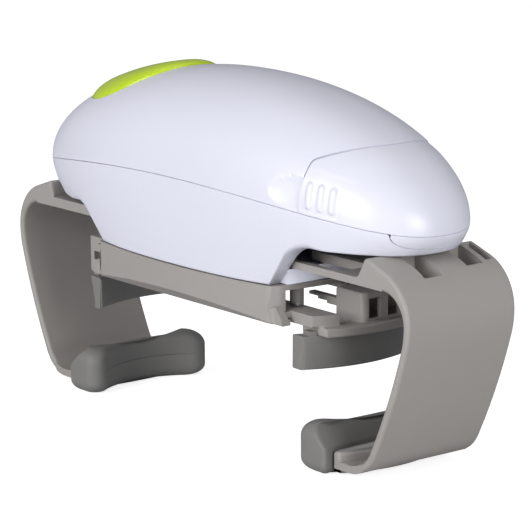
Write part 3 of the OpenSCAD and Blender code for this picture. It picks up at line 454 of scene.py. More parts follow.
@dataclass(frozen=True)
class HousingForm:
    """Form of the egg-shaped housing, in millimetres, as the construction gives it.

    Attributes:
        half_l: Half length along the widest line.
        half_w: Half width along the widest line.
        power: Squareness of the outline.
        crown_h: Height of the crown above the widest line.
        crown_power: Squareness of the crown.
        seam_h: Height of the widest line at mid length.
        seam_sag: Drop of the widest line at the ends.
        skirt_h: Height of the skirt's edge.
        skirt_l_share: Length of the skirt as a share of the widest line.
        skirt_w_share: Width of the skirt as a share of the widest line.
        bulge: How late the lower shell turns inwards.
        tail_fill: How much fuller the tail is than the nose, as a share of the length.
        tail: Where the fuller form of the tail begins and is reached.
        arch: Front arch: where it becomes level, its radius and its centre's height.
        rear_arch: The same of the rear arch, which is lower at the sides.
        mouth_half_w: Half width of the tunnels' mouths, over which both arches are as high.
        mouth_blend: Width over which the rear arch comes down beside its mouth.
        cover_x: The cover's seam at the sides.
        cover_arc_x: Centre of the cover's arched seam.
        cover_arc_r: Radius of the cover's arched seam.
        cover_turn: How softly the cover's seam turns down the side.
        nose_half_w: Half width of the latch.
        nose_drop: How far the latch reaches below nose_z.
        nose_z: Height at which the latch is at its widest.
        joint: Half the gap between two shells.
        wall: Thickness of the walls.
    """

    half_l: float = 100.0
    half_w: float = 36.0
    power: float = 2.4
    crown_h: float = 32.5
    crown_power: float = 2.2
    seam_h: float = 89.2
    seam_sag: float = 9.3
    skirt_h: float = 59.0
    skirt_l_share: float = 0.76
    skirt_w_share: float = 0.917
    bulge: float = 1.5
    tail_fill: float = 0.1
    tail: tuple[float, float] = (70.0, 100.0)
    arch: tuple[float, float, float] = (66.0, 15.5, 58.0)
    rear_arch: tuple[float, float, float] = (61.0, 13.5, 57.0)
    mouth_half_w: float = 22.8
    mouth_blend: float = 1.8
    cover_x: float = 64.2
    cover_arc_x: float = 44.7
    cover_arc_r: float = 31.0
    cover_turn: float = 0.4
    nose_half_w: float = 17.0
    nose_drop: float = 6.6
    nose_z: float = 82.0
    joint: float = 0.12
    wall: float = 2.0

    def outline(self, angle: np.ndarray) -> tuple[np.ndarray, np.ndarray]:
        """Return X and Y of the widest line at an angle.

        Args:
            angle: Angle on the widest line.

        Returns:
            Both, in millimetres.
        """
        c, s = np.cos(angle), np.sin(angle)
        return (self.half_l * np.sign(c) * np.abs(c) ** (2 / self.power),
                self.half_w * np.sign(s) * np.abs(s) ** (2 / self.power))

    def seam_z(self, x: np.ndarray) -> np.ndarray:
        """Return the height of the widest line at X."""
        return self.seam_h - self.seam_sag * (x / self.half_l) ** 2

    def crown_z(self, x: np.ndarray, y: np.ndarray) -> np.ndarray:
        """Return the height of the crown above a point.

        Args:
            x: X in millimetres.
            y: Y in millimetres.

        Returns:
            The height in millimetres.
        """
        share = (np.abs(x / self.half_l) ** self.power
                 + np.abs(y / self.half_w) ** self.power) ** (1 / self.power)
        rise = np.clip(1 - np.minimum(share, 1) ** 2, 0, 1) ** (1 / self.crown_power)
        return self.seam_z(x) + self.crown_h * rise

    def lower_points(self, angle: float, depth: np.ndarray) -> np.ndarray:
        """Return points of the lower shell below one place of the widest line.

        Args:
            angle: Angle on the widest line.
            depth: Depth shares, 0 on the widest line and 1 at the skirt.

        Returns:
            One point a row.
        """
        x, y = (float(v) for v in self.outline(np.array(angle)))
        turn = depth ** self.bulge
        tail = self.tail_fill * float(soft_step(np.array(-x), *self.tail))
        return np.stack([x * (1 - (1 - self.skirt_l_share - tail) * turn),
                         y * (1 - (1 - self.skirt_w_share) * turn),
                         self.seam_z(np.array(x)) * (1 - depth) + self.skirt_h * depth], axis=1)

    def skirt_floor(self, x: np.ndarray, y: np.ndarray) -> np.ndarray:
        """Return the height of the skirt's edge at a point, with its arched ends.

        Args:
            x: X in millimetres.
            y: Y in millimetres.

        Returns:
            The height in millimetres.
        """
        level, radius, base = (np.where(x < 0, rear, front)
                               for front, rear in zip(self.arch, self.rear_arch))
        arch = base + np.sqrt(radius ** 2 - np.clip(level - np.abs(x), 0, radius) ** 2)
        over = 1 - soft_step(np.abs(y), self.mouth_half_w, self.mouth_half_w + self.mouth_blend)
        arch = np.maximum(arch, (self.arch[1] + self.arch[2]) * over)
        return np.where(np.abs(x) < level - radius, self.skirt_h, np.maximum(self.skirt_h, arch))

    def cover_seam(self, y: np.ndarray) -> np.ndarray:
        """Return X of the cover's seam at Y.

        Args:
            y: Y in millimetres.

        Returns:
            X in millimetres.
        """
        side = np.minimum(np.abs(y), 0.98 * self.cover_arc_r)
        over = self.cover_arc_x + np.sqrt(self.cover_arc_r ** 2 - side ** 2) - self.cover_x
        return self.cover_x + (over + np.sqrt(over ** 2 + 4 * self.cover_turn ** 2)) / 2

    def corner_angle(self) -> float:
        """Return the angle on the widest line where the cover's seam meets it."""
        return math.acos((self.cover_x / self.half_l) ** (self.power / 2))

    def angles(self, start: float, end: float, spacing: Callable[[np.ndarray], np.ndarray]
               ) -> np.ndarray:
        """Spread angles along the widest line.

        Args:
            start: First angle.
            end: Last angle.
            spacing: Wanted distance between points, in millimetres, at X.

        Returns:
            The angles, in order.
        """
        fine = np.linspace(start, end, 6001)
        x, y = self.outline(fine)
        steps = np.hypot(np.diff(x), np.diff(y)) / spacing((x[1:] + x[:-1]) / 2)
        run = np.concatenate([[0.0], np.cumsum(steps)])
        return np.interp(np.linspace(0, run[-1], int(run[-1]) + 2), run, fine)


@dataclass
class UpperShell:
    """The crown between the button's hole and the cover's seam.

    Attributes:
        form: Form of the housing.
        rows: Points from the button's hole to the edge.
        recess_l: Length of the thumb recess behind the cover.
        recess_h: Its height.
        recess_deep: Its depth.
        recess_up: How far above the widest line it starts.
        step: Spacing of the columns beside the cover, and what is added further back.
        step_x: Where along the housing the spacing changes.
        centre_strip: Half width over which the sides' forms are left out.
    """

    form: HousingForm
    rows: int = 64
    recess_l: float = 12.0
    recess_h: float = 10.0
    recess_deep: float = 1.5
    recess_up: float = 1.2
    step: tuple[float, float] = (0.42, 1.1)
    step_x: tuple[float, float] = (30.0, 46.0)
    centre_strip: float = 10.0

    def rim(self) -> np.ndarray:
        """Return the outer rim as X and Y, round the back and over the cover's seam.

        Returns:
            The points of the rim, closed, one a row.
        """
        form = self.form
        corner = form.corner_angle()
        near, more = self.step
        angles = form.angles(corner, 2 * math.pi - corner,
                             lambda x: near + more * (1 - soft_step(x, *self.step_x)))
        x, y = form.outline(angles)
        across = np.linspace(-1, 1, 140)
        seam_y = float(np.abs(y[0])) * np.sin(across * math.pi / 2)
        seam_x = form.cover_seam(seam_y)
        rim = np.concatenate([np.stack([x, y], axis=1), np.stack([seam_x, seam_y], axis=1)[1:]])
        rim[-1] = rim[0]
        return rim

    def hole(self, direction: float) -> tuple[float, float]:
        """Return the point of the button's hole in one direction from the button's middle."""
        return (BUTTON.middle_x + BUTTON.hole_r * math.cos(direction),
                BUTTON.hole_r * math.sin(direction))

    def column(self, end_x: float, end_y: float) -> np.ndarray:
        """Return the points from the button's hole to one point of the rim.

        Args:
            end_x: X of the point of the rim.
            end_y: Y of the point of the rim.

        Returns:
            Points in millimetres, one a row.
        """
        form = self.form
        x0, y0 = self.hole(math.atan2(end_y, end_x - BUTTON.middle_x))
        t = 1 - (1 - np.linspace(0, 1, 260)) ** 3
        x, y = x0 + (end_x - x0) * t, y0 + (end_y - y0) * t
        z = np.maximum(form.crown_z(x, y), form.seam_z(x) + form.joint)
        return resample(np.stack([x, y, z], axis=1), self.rows, 1.5)

    def hollow(self, table: np.ndarray) -> None:
        """Press the thumb recesses into the sides.

        Args:
            table: Places of the shell, which are moved.
        """
        form = self.form
        x, y, z = table[..., 0], table[..., 1], table[..., 2]
        middle = form.seam_z(np.array(form.cover_x)) + self.recess_up + self.recess_h / 2
        away = ((x - form.cover_x) / self.recess_l) ** 2 + ((z - middle) / (self.recess_h / 2)) ** 2
        depth = self.recess_deep * np.clip(1 - away, 0, 1) ** 0.6
        table[..., 1] -= np.sign(y) * depth * (np.abs(y) > self.centre_strip)

    def build(self) -> bpy.types.Object:
        """Build the shell and return it.

        Returns:
            The shell.
        """
        table = np.stack([self.column(x, y) for x, y in self.rim()])
        self.hollow(table)
        shell = drape("upper_shell_skin", table)
        give_wall(shell, self.form.wall, EDGE_R)
        return dress(shell, WHITE_ABS, "housing", ["upper_shell"])


@dataclass
class BatteryCover:
    """The sliding cover at the front, with its grip ribs.

    Attributes:
        form: Form of the housing.
        rows: Points from the widest line up to the seam.
        seam_gap: Gap along the seam.
        ribs: Number of ribs on each side.
        rib_x: Distance from the side seam to the middle of the first rib.
        rib_z: Height of the ribs' middle above the widest line.
        rib_lean: Slant of the ribs.
        lean_z: Height above the widest line that the slants turn about.
        rib_pitch: Distance between two ribs.
        rib_w: Width of a rib.
        rib_h: Height of a rib.
        rib_proud: How far a rib stands out.
        panel_deep: Depth of the panel that the ribs stand in.
        panel_top: Top of the panel at the side seam.
        panel_fall: How steeply the top falls towards the front.
        panel_front: Front end of the panel.
        panel_lean: Slant of that end.
        seam_step: How much lower the cover lies along its arched seam.
        step: Spacing of the columns, and what is added towards the nose.
        step_x: Where along the housing the spacing changes.
        seam_fade: Distance from the seam over which the step is made up.
        seam_rise: Heights above the widest line at which the step begins and is reached.
        centre_strip: Half width over which the sides' forms are left out.
    """

    form: HousingForm
    rows: int = 72
    seam_gap: float = 0.3
    ribs: int = 3
    rib_x: float = 3.5
    rib_z: float = 6.2
    rib_lean: float = 0.08
    lean_z: float = 6.0
    rib_pitch: float = 4.1
    rib_w: float = 2.3
    rib_h: float = 8.4
    rib_proud: float = 0.55
    panel_deep: float = 0.1
    panel_top: float = 99.516
    panel_fall: float = 0.24
    panel_front: float = 79.2
    panel_lean: float = 0.2
    seam_step: float = 0.4
    step: tuple[float, float] = (0.3, 0.8)
    step_x: tuple[float, float] = (82.0, 92.0)
    seam_fade: float = 7.0
    seam_rise: tuple[float, float] = (9.0, 16.0)
    centre_strip: float = 10.0

    def inner_share(self, x: float, y: float) -> float:
        """Return the share of the way out at which a ray to the widest line meets the seam.

        Args:
            x: X in millimetres.
            y: Y in millimetres.

        Returns:
            The share, between 0 and 1.
        """
        low, high = 0.0, 1.0
        for _ in range(40):
            share = (low + high) / 2
            beyond = share * x - float(self.form.cover_seam(np.array(share * y))) - self.seam_gap
            low, high = (low, share) if beyond > 0 else (share, high)
        return high

    def column(self, x: float, y: float) -> np.ndarray:
        """Return the points from one place of the widest line up to the seam.

        Args:
            x: X in millimetres.
            y: Y in millimetres.

        Returns:
            Points in millimetres, one a row.
        """
        form = self.form
        share = 1 - (1 - self.inner_share(x, y)) * np.linspace(0, 1, 260) ** 3
        xs, ys = x * share, y * share
        zs = np.maximum(form.crown_z(xs, ys), form.seam_z(xs) + form.joint)
        return resample(np.stack([xs, ys, zs], axis=1), self.rows)

    def emboss(self, table: np.ndarray) -> None:
        """Raise the ribs in their shallow panel.

        Args:
            table: Places of the cover, which are moved.
        """
        form = self.form
        x, y, z = table[..., 0], table[..., 1], table[..., 2]
        up = z - form.seam_z(x)
        slope = z + self.panel_fall * (x - form.cover_x)
        front = x - self.panel_lean * (up - self.lean_z)
        panel = (soft_step(up, 0.6, 1.4)
                 * (1 - soft_step(slope, self.panel_top, self.panel_top + 0.8))
                 * (1 - soft_step(front, self.panel_front, self.panel_front + 1)))
        height = -self.panel_deep * panel
        half_w = self.rib_w / 2
        for i in range(self.ribs):
            middle = form.cover_x + self.rib_x + i * self.rib_pitch
            across = (x - middle + self.rib_lean * (up - self.lean_z)) / half_w
            along = np.maximum(np.abs(up - self.rib_z) - self.rib_h / 2 + half_w, 0) / half_w
            height += self.rib_proud * np.sqrt(np.clip(1 - across ** 2 - along ** 2, 0, 1))
        height *= np.abs(y) > self.centre_strip
        nx = np.sign(x) * np.abs(x / form.half_l) ** (form.power - 1) / form.half_l
        ny = np.sign(y) * np.abs(y / form.half_w) ** (form.power - 1) / form.half_w
        size = np.hypot(nx, ny)
        table[..., 0] += height * nx / size
        table[..., 1] += height * ny / size
        near = 1 - soft_step(x - form.cover_seam(y), 0.0, self.seam_fade)
        table[..., 2] -= self.seam_step * near * soft_step(up, *self.seam_rise)

    def build(self) -> bpy.types.Object:
        """Build the cover and return it.

        Returns:
            The cover.
        """
        corner = self.form.corner_angle()
        near, more = self.step
        angles = self.form.angles(-corner + 0.002, corner - 0.002,
                                  lambda x: near + more * soft_step(x, *self.step_x))
        table = np.stack([self.column(float(x), float(y))
                          for x, y in zip(*self.form.outline(angles))])
        self.emboss(table)
        cover = drape("battery_cover_skin", table)
        give_wall(cover, self.form.wall, EDGE_R)
        return dress(cover, WHITE_ABS, "cover", ["battery_cover"])


@dataclass
class LowerShell:
    """The lower shell with its arched ends, and the latch in its nose.

    Attributes:
        form: Form of the housing.
        tunnel_half_w: Half width of the tunnels in which the arms run.
        rim_r: Radius along the skirt's edge.
        arch_edge_r: Radius along the arches.
        arch_from: Where the larger radius begins and is reached, along the front.
        arch_to: Where it starts to end and has ended.
        rear_shift: How much nearer to the middle all this lies at the rear.
        turn_x: Where the edge turns from running along the sides to running round the ends.
        least_w: Least width of the underside.
        latch_x: X beyond which the latch lies.
        latch_angle: Angle on the widest line to which the latch may reach.
        skin_wall: Thickness of the skin.
        latch_wall: Thickness of the latch.
        latch_power: Squareness of the latch's outline.
        core_half_w: Half width of the part that is taken from the construction.
        core_end: Share of the way out, and X, beyond which its outer ends lie.
        core_pull: How far these ends are drawn in, to stay inside the skin.
    """

    form: HousingForm
    tunnel_half_w: float = 23.4
    rim_r: float = 0.8
    arch_edge_r: float = 3.2
    arch_from: tuple[float, float] = (50.2, 52.0)
    arch_to: tuple[float, float] = (64.0, 72.0)
    rear_shift: float = 3.5
    turn_x: tuple[float, float] = (68.0, 76.0)
    least_w: float = 3.6
    latch_x: float = 80.0
    latch_angle: float = 1.2
    skin_wall: float = 1.4
    latch_wall: float = 2.2
    latch_power: float = 2.6
    core_half_w: float = 23.3
    core_end: tuple[float, float] = (0.72, 70.0)
    core_pull: float = 0.97

    def in_nose(self, points: np.ndarray, shift: float) -> np.ndarray:
        """Tell which points lie inside the latch's outline.

        Args:
            points: Points, one a row.
            shift: How much wider the outline is taken, in millimetres.

        Returns:
            True for each point that does.
        """
        form = self.form
        across = np.abs(points[:, 1]) / (form.nose_half_w + shift)
        down = np.maximum(form.nose_z - points[:, 2], 0) / (form.nose_drop + shift)
        inside = across ** self.latch_power + down ** self.latch_power < 1
        return (points[:, 0] > self.latch_x) & inside

    def skin(self, angle: float) -> np.ndarray:
        """Return fine points of the skin from the widest line or the latch down to the edge.

        Args:
            angle: Angle on the widest line.

        Returns:
            Points in millimetres, one a row.
        """
        form = self.form
        depth = np.linspace(0, 1, 700)
        points = form.lower_points(angle, depth)
        above = points[:, 2] - form.skirt_floor(points[:, 0], points[:, 1])
        last = int(np.argmax(above <= 1e-6)) if (above <= 1e-6).any() else len(depth) - 1
        latch = self.in_nose(points, form.joint)
        first = int(np.argmin(latch)) if latch[0] else 0
        line = points[first:max(last, first + 2) + 1].copy()
        top = form.seam_z(line[0, 0]) - form.joint
        if first == 0:
            line[:, 2] = np.minimum(line[:, 2], top)
        line[-1, 2] = max(line[-1, 2], float(form.skirt_floor(line[-1:, 0], line[-1:, 1])[0]))
        return line

    def column(self, angle: float) -> np.ndarray:
        """Return the skin, the rounded edge and the underside at one place.

        Args:
            angle: Angle on the widest line.

        Returns:
            Points in millimetres, one a row.
        """
        line = self.skin(angle)
        end = line[-1]
        x, y = abs(end[0]), end[1]
        along = np.array(x if end[0] > 0 else x + self.rear_shift)
        in_arch = soft_step(along, *self.arch_from) * (1 - soft_step(along, *self.arch_to))
        radius = float(self.rim_r + (self.arch_edge_r - self.rim_r) * in_arch)
        run = np.linalg.norm(np.diff(line, axis=0), axis=1).sum()
        radius = min(radius, run * 0.6)
        inward = np.array([0.0, -np.sign(y), 0.0])
        nose = np.array([-np.sign(end[0]) * (x / self.form.half_l) ** 1.4 / self.form.half_l,
                         -np.sign(y) * (abs(y) / self.form.half_w) ** 1.4 / self.form.half_w, 0.0])
        blend = float(soft_step(np.array(x), *self.turn_x))
        inward = inward * (1 - blend) + nose / np.linalg.norm(nose) * blend
        inward /= np.linalg.norm(inward)
        width = max(self.least_w, abs(y) - self.tunnel_half_w)
        fine = resample(line, 400)
        keep = np.linalg.norm(fine - end, axis=1) > radius
        start = fine[keep][-1]
        t = np.linspace(0, 1, 8)[1:, None]
        corner = start * (1 - t) ** 2 + end * 2 * t * (1 - t) + (end + inward * radius) * t ** 2
        under = end + inward * np.array([[(radius + width) / 2], [width]])
        return np.concatenate([resample(fine[keep], 30), corner, under])

    def build_skin(self) -> bpy.types.Object:
        """Build the outer skin with the band under the arches.

        Returns:
            The skin.
        """
        angles = self.form.angles(0, 2 * math.pi, lambda x: 0.5 + 1.0 * (
            1 - soft_step(np.abs(x), 60, 66)) + 0.3 * soft_step(np.abs(x), 84, 92))
        table = np.stack([self.column(float(a)) for a in angles])
        table[-1] = table[0]
        skin = drape("lower_shell_skin", table)
        give_wall(skin, self.skin_wall, EDGE_R)
        return dress(skin, WHITE_ABS, "housing", ["lower_shell"])

    def build_core(self) -> bpy.types.Object:
        """Build the floor, the tunnels and the closed nose inside the skin.

        Returns:
            The core.
        """
        core = merged_copy("lower_shell", "lower_shell_core")
        sides = [Vector((0, sign, 0)) for sign in (-1, 1)]
        cut_off(core, *((side * self.core_half_w, side) for side in sides))
        places = vertex_places(core)
        form = self.form
        share = (np.abs(places[:, 0] / form.half_l) ** form.power
                 + np.abs(places[:, 1] / form.half_w) ** form.power) ** (1 / form.power)
        outer = (share > self.core_end[0]) & (np.abs(places[:, 0]) > self.core_end[1])
        places[:, 0] *= np.where(outer, self.core_pull, 1.0)
        core.data.vertices.foreach_set("co", (places * MM).ravel())
        core.data.update()
        return dress(core, WHITE_ABS, "housing", ["lower_shell"])

    def build_latch(self) -> bpy.types.Object:
        """Build the crescent-shaped latch under the nose.

        Returns:
            The latch.
        """
        form = self.form
        angles = form.angles(-self.latch_angle, self.latch_angle, lambda x: 0.5 + 0 * x)
        columns = []
        for angle in angles:
            points = form.lower_points(float(angle), np.linspace(0, 1, 900))
            inside = self.in_nose(points, -form.joint)
            if not inside[0]:
                continue
            line = points[:max(int(np.argmin(inside)), 2)].copy()
            line = line[line[:, 2] > form.skirt_floor(line[:, 0], line[:, 1]) + self.rim_r]
            line[:, 2] = np.minimum(line[:, 2], form.seam_z(line[0, 0]) - form.joint)
            columns.append(resample(line, 20))
        latch = drape("nose_latch_skin", np.stack(columns))
        give_wall(latch, self.latch_wall, FINE_R)
        return dress(latch, WHITE_ABS, "housing", ["nose_latch"])

    def build(self) -> None:
        """Build all three pieces."""
        self.build_skin()
        self.build_core()
        self.build_latch()


@dataclass(frozen=True)
class StartButton:
    """The round button on top.

    Attributes:
        middle_x: Place of its middle.
        hole_r: Radius of its hole.
        gap: Gap round the button.
        proud: Height above the crown near the edge.
        crown: Further rise towards the middle.
        shoulder: Share of the radius that the rounded flank takes.
        skirt: Depth of the flank below the crown.
        wall: Thickness of its wall.
        flank_steps: Steps up the rounded flank.
        top_steps: Steps from the flank to the middle.
        sides: Sides of its outline.
    """

    middle_x: float = -51.8
    hole_r: float = 22.9
    gap: float = 0.3
    proud: float = 2.3
    crown: float = 0.15
    shoulder: float = 0.36
    skirt: float = 4.0
    wall: float = 1.6
    flank_steps: int = 14
    top_steps: int = 22
    sides: int = 180

    def build(self, form: HousingForm) -> bpy.types.Object:
        """Build the button.

        Args:
            form: Form of the housing.

        Returns:
            The button.
        """
        rows = [(0.0, -self.skirt), (0.0, -self.skirt / 2), (0.0, 0.0)]
        for turn in np.linspace(0, math.pi / 2, self.flank_steps + 1)[1:]:
            rows.append((self.shoulder * (1 - math.cos(turn)), self.proud * math.sin(turn)))
        for t in np.linspace(0, 1, self.top_steps + 1)[1:]:
            rows.append((self.shoulder + (1 - self.shoulder) * t,
                         self.proud + self.crown * math.sin(t * math.pi / 2)))
        angles = np.linspace(0, 2 * math.pi, self.sides + 1)
        c, s = np.cos(angles), np.sin(angles)
        table = np.empty((len(angles), len(rows), 3))
        for j, (share, lift) in enumerate(rows):
            radius = (self.hole_r - self.gap) * (1 - share)
            x, y = self.middle_x + radius * c, radius * s
            table[:, j] = np.stack([x, y, form.crown_z(x, y) + lift], axis=1)
        table[-1] = table[0]
        button = drape("button_cap", table)
        give_wall(button, self.wall, FINE_R)
        return dress(button, LIME_ABS, "button", ["start_button"])


BUTTON = StartButton()


# ---------------------------------------------------------------- moulded arms, jaws and turntable

@dataclass
class MouldedCopy:
    """A moulded part taken from the construction, with rounded edges.

    Attributes:
        node: Its node.
        body: Its body.
        finish: Its finish.
        slot: Its material slot; not used.
    """

    node: str
    body: str
    finish: Finish
    slot: str

    def round_all(self, piece: bpy.types.Object) -> None:
        """Round the part's edges; a plain copy keeps them sharp."""

    def build(self) -> bpy.types.Object:
        """Build the part and return it.

        Returns:
            The part.
        """
        piece = merged_copy(self.node, self.node + "_moulding")
        self.round_all(piece)
        shade(piece, 35)
        return dress(piece, self.finish, self.body, [self.node])


@dataclass
class JarArm(MouldedCopy):
    """An arm that ends in the carrier of a jar pad.

    Attributes:
        end: Which end it stands at.
        half_w: Half width of its band.
        knuckle_x: Inner face of its knuckle.
        carrier_x: Outer reach of the pad's carrier.
        carrier_z: Height above which only the carrier's lip lies.
        side_r: Radius along the band's sides.
        lip_r: Radius along the carrier's lip.
    """

    end: End = End.FRONT
    half_w: float = 22.6
    knuckle_x: float = 85.3
    carrier_x: float = 82.0
    carrier_z: float = 8.3
    side_r: float = 1.1
    lip_r: float = 0.9

    def round_all(self, piece: bpy.types.Object) -> None:
        """Round the band's long edges and the knuckle.

        Args:
            piece: The mesh object.
        """
        sign = self.end.value

        def long_edge(a: np.ndarray, b: np.ndarray) -> bool:
            """Tell whether an edge runs along a side of the band."""
            side = min(abs(a[1]), abs(b[1])) > self.half_w - CLOSE
            return side and min(sign * a[0], sign * b[0]) > self.knuckle_x - TOUCH

        round_edges(piece, self.side_r, 4, long_edge)

        def lip(a: np.ndarray, b: np.ndarray) -> bool:
            """Tell whether an edge runs along the top or an end of the pad's carrier.

            Args:
                a: One end of the edge, in millimetres.
                b: Its other end.

            Returns:
                True if it does.
            """
            low, high = min(a[2], b[2]), max(a[2], b[2])
            near = max(sign * a[0], sign * b[0]) < self.carrier_x
            at_end = min(abs(a[1]), abs(b[1])) > self.half_w - CLOSE
            return near and high > self.carrier_z and (low > self.carrier_z or at_end)

        round_edges(piece, self.lip_r, 3, lip)


@dataclass
class JarPad(MouldedCopy):
    """The rubber pad of an arm: a hollow grip face between two lobes, and a back that leans.

    Its outline in plan is drawn at each height, from the foot to the round top.

    Attributes:
        end: Which end it stands at.
        half_w: Half width over the lobes.
        arc_x: Centre of the grip face's arc.
        arc_r: Radius of the grip face.
        lobe_r: Radius of the lobes' grip side, in plan.
        back_x: Back of the pad at mid width.
        back_end_x: Back of the pad at the lobes.
        height: Height of the pad at the lobes.
        dip: How much lower it is at mid width.
        edge_z: Height at which the back starts to lean.
        foot_r: Radius round the foot.
        top_r: Radius along the top.
        shoulder_r: Radius over the lobes, seen from the front.
        heel_r: Radius from the back to the lobes, in plan.
        dip_half_w: Half width of the lower part of the top.
        lean: How far the back leans in up to the top, at mid width and at the lobes.
        crease_z: Height of the fine crease in the grip face.
        crease_deep: Depth of the crease.
        crease_w: Half width of the crease.
        tongue_half_w: Half width of the tongue that holds the pad.
        tongue_z: Height of the tongue.
    """

    end: End = End.FRONT
    half_w: float = 26.1
    arc_x: float = 35.2
    arc_r: float = 30.3
    lobe_r: float = 4.2
    back_x: float = 70.6
    back_end_x: float = 72.0
    height: float = 16.4
    dip: float = 1.1
    edge_z: float = 9.2
    foot_r: float = 4.0
    top_r: float = 2.4
    shoulder_r: float = 5.0
    heel_r: float = 1.3
    dip_half_w: float = 20.0
    lean: tuple[float, float] = (2.6, 6.0)
    crease_z: float = 8.4
    crease_deep: float = 0.28
    crease_w: float = 0.14
    tongue_half_w: float = 20.3
    tongue_z: float = 7.9

    @staticmethod
    def fall(depth: float, radius: float) -> float:
        """Return how far a rounded edge stands back at a depth into its radius."""
        into = min(max(depth, 0.0), radius)
        return radius - math.sqrt(radius ** 2 - into ** 2)

    def levels(self) -> list[float]:
        """Return the heights of the outlines, close together where the form curves.

        Returns:
            The heights in millimetres, in order.
        """
        turn = np.linspace(0, math.pi / 2, 8)
        foot = self.foot_r * (1 - np.cos(turn))
        crease = self.crease_z + np.array([-0.35, -0.15, 0.0, 0.15, 0.35])
        rise = np.linspace(self.edge_z, self.height - self.shoulder_r, 4)[:-1]
        over = np.linspace(0, math.pi / 2, 14)
        top = self.height - self.shoulder_r + self.shoulder_r * np.sin(over)
        heights = np.concatenate([foot, [5.0, 6.5], crease, [self.edge_z - 0.3], rise, top])
        return sorted(float(z) for z in heights)

    def grip_x(self, y: np.ndarray, radius: float) -> np.ndarray:
        """Return X of the grip face's arc at Y."""
        return self.arc_x + np.sqrt(np.maximum(radius ** 2 - y ** 2, 0))

    def outline(self, z: float) -> tuple[np.ndarray, np.ndarray]:
        """Return the outline in plan at a height, and the line midway between its two sides.

        Args:
            z: Height in millimetres.

        Returns:
            The points of both, a row each, in the same order.
        """
        foot = self.fall(self.foot_r - z, self.foot_r)
        top = self.fall(z - self.height + self.top_r, self.top_r)
        crease = self.crease_deep * math.exp(-((z - self.crease_z) / self.crease_w) ** 2)
        radius = self.arc_r + foot * 0.7 + top
        half_w = self.half_w - foot - self.fall(z - self.height + self.shoulder_r, self.shoulder_r)
        lean = max(z - self.edge_z, 0.0) / (self.height - 1.2 - self.edge_z)
        middle = self.back_x - foot - self.lean[0] * lean - top
        ends = self.back_end_x - foot - self.lean[1] * lean - top * 0.6
        lobe = max(self.lobe_r - foot * 0.3 - top * 0.5, 0.8)
        corner = max(self.heel_r - foot * 0.2, 0.5)
        lobe_y = half_w - lobe
        lobe_x = self.arc_x + math.sqrt((radius + lobe) ** 2 - lobe_y ** 2)
        meet = math.atan2(lobe_y, lobe_x - self.arc_x)
        turn = math.pi + np.linspace(meet, -math.pi / 2, 12)
        side = np.stack([lobe_x + lobe * np.cos(turn), lobe_y + lobe * np.sin(turn)], axis=1)
        arc = np.linspace(0, meet, 26)[:-1]
        face = np.stack([self.arc_x + (radius + crease) * np.cos(arc),
                         (radius + crease) * np.sin(arc)], axis=1)
        turn = np.linspace(math.pi / 2, 0, 7)
        end_x = max(ends, lobe_x + corner)
        heel = np.stack([end_x - corner + corner * np.cos(turn),
                         half_w - corner + corner * np.sin(turn)], axis=1)
        across = np.linspace(half_w - corner, 0, 18)[1:]
        behind = middle + (end_x - middle) * (across / (half_w - corner)) ** 2
        back = np.stack([behind, across], axis=1)
        half = np.concatenate([face, side, heel, back])
        loop = np.concatenate([half, half[-2:0:-1] * [1, -1], half[:1]])
        y = np.clip(loop[:, 1], -half_w * 0.86, half_w * 0.86)
        share = np.abs(y) / (half_w - corner)
        between = (self.grip_x(y, radius) + middle + (end_x - middle) * share ** 2) / 2
        return loop, np.stack([between, y], axis=1)

    def build(self) -> bpy.types.Object:
        """Build the pad and its tongue, and return the pad.

        Returns:
            The pad.
        """
        rows = []
        heights = self.levels()
        for k, z in enumerate(heights):
            loop, middle = self.outline(z)
            flat = np.full((len(loop), 1), z)
            if k == 0:
                rows.append(np.hstack([middle, flat]))
            rows.append(np.hstack([loop, flat]))
            if k == len(heights) - 1:
                rows.append(np.hstack([middle, flat]))
        table = np.stack(rows, axis=1)
        upper = soft_step(table[..., 2], self.edge_z, self.height)
        inner = np.clip(1 - (table[..., 1] / self.dip_half_w) ** 2, 0, 1)
        table[..., 2] -= self.dip * upper * inner
        table[..., :2] *= self.end.value
        pad = drape(self.node + "_skin", table)
        edit_all(pad, face_outwards)
        shade(pad, 42)
        tongue = merged_copy(self.node, self.node + "_tongue")
        aside = Vector((0, self.tongue_half_w, 0))
        cut_off(tongue, (Vector((0, 0, self.tongue_z)), Vector((0, 0, 1))),
                (aside, Vector((0, 1, 0))), (-aside, Vector((0, -1, 0))))
        dress(tongue, self.finish, self.body, [self.node])
        return dress(pad, self.finish, self.body, [self.node])


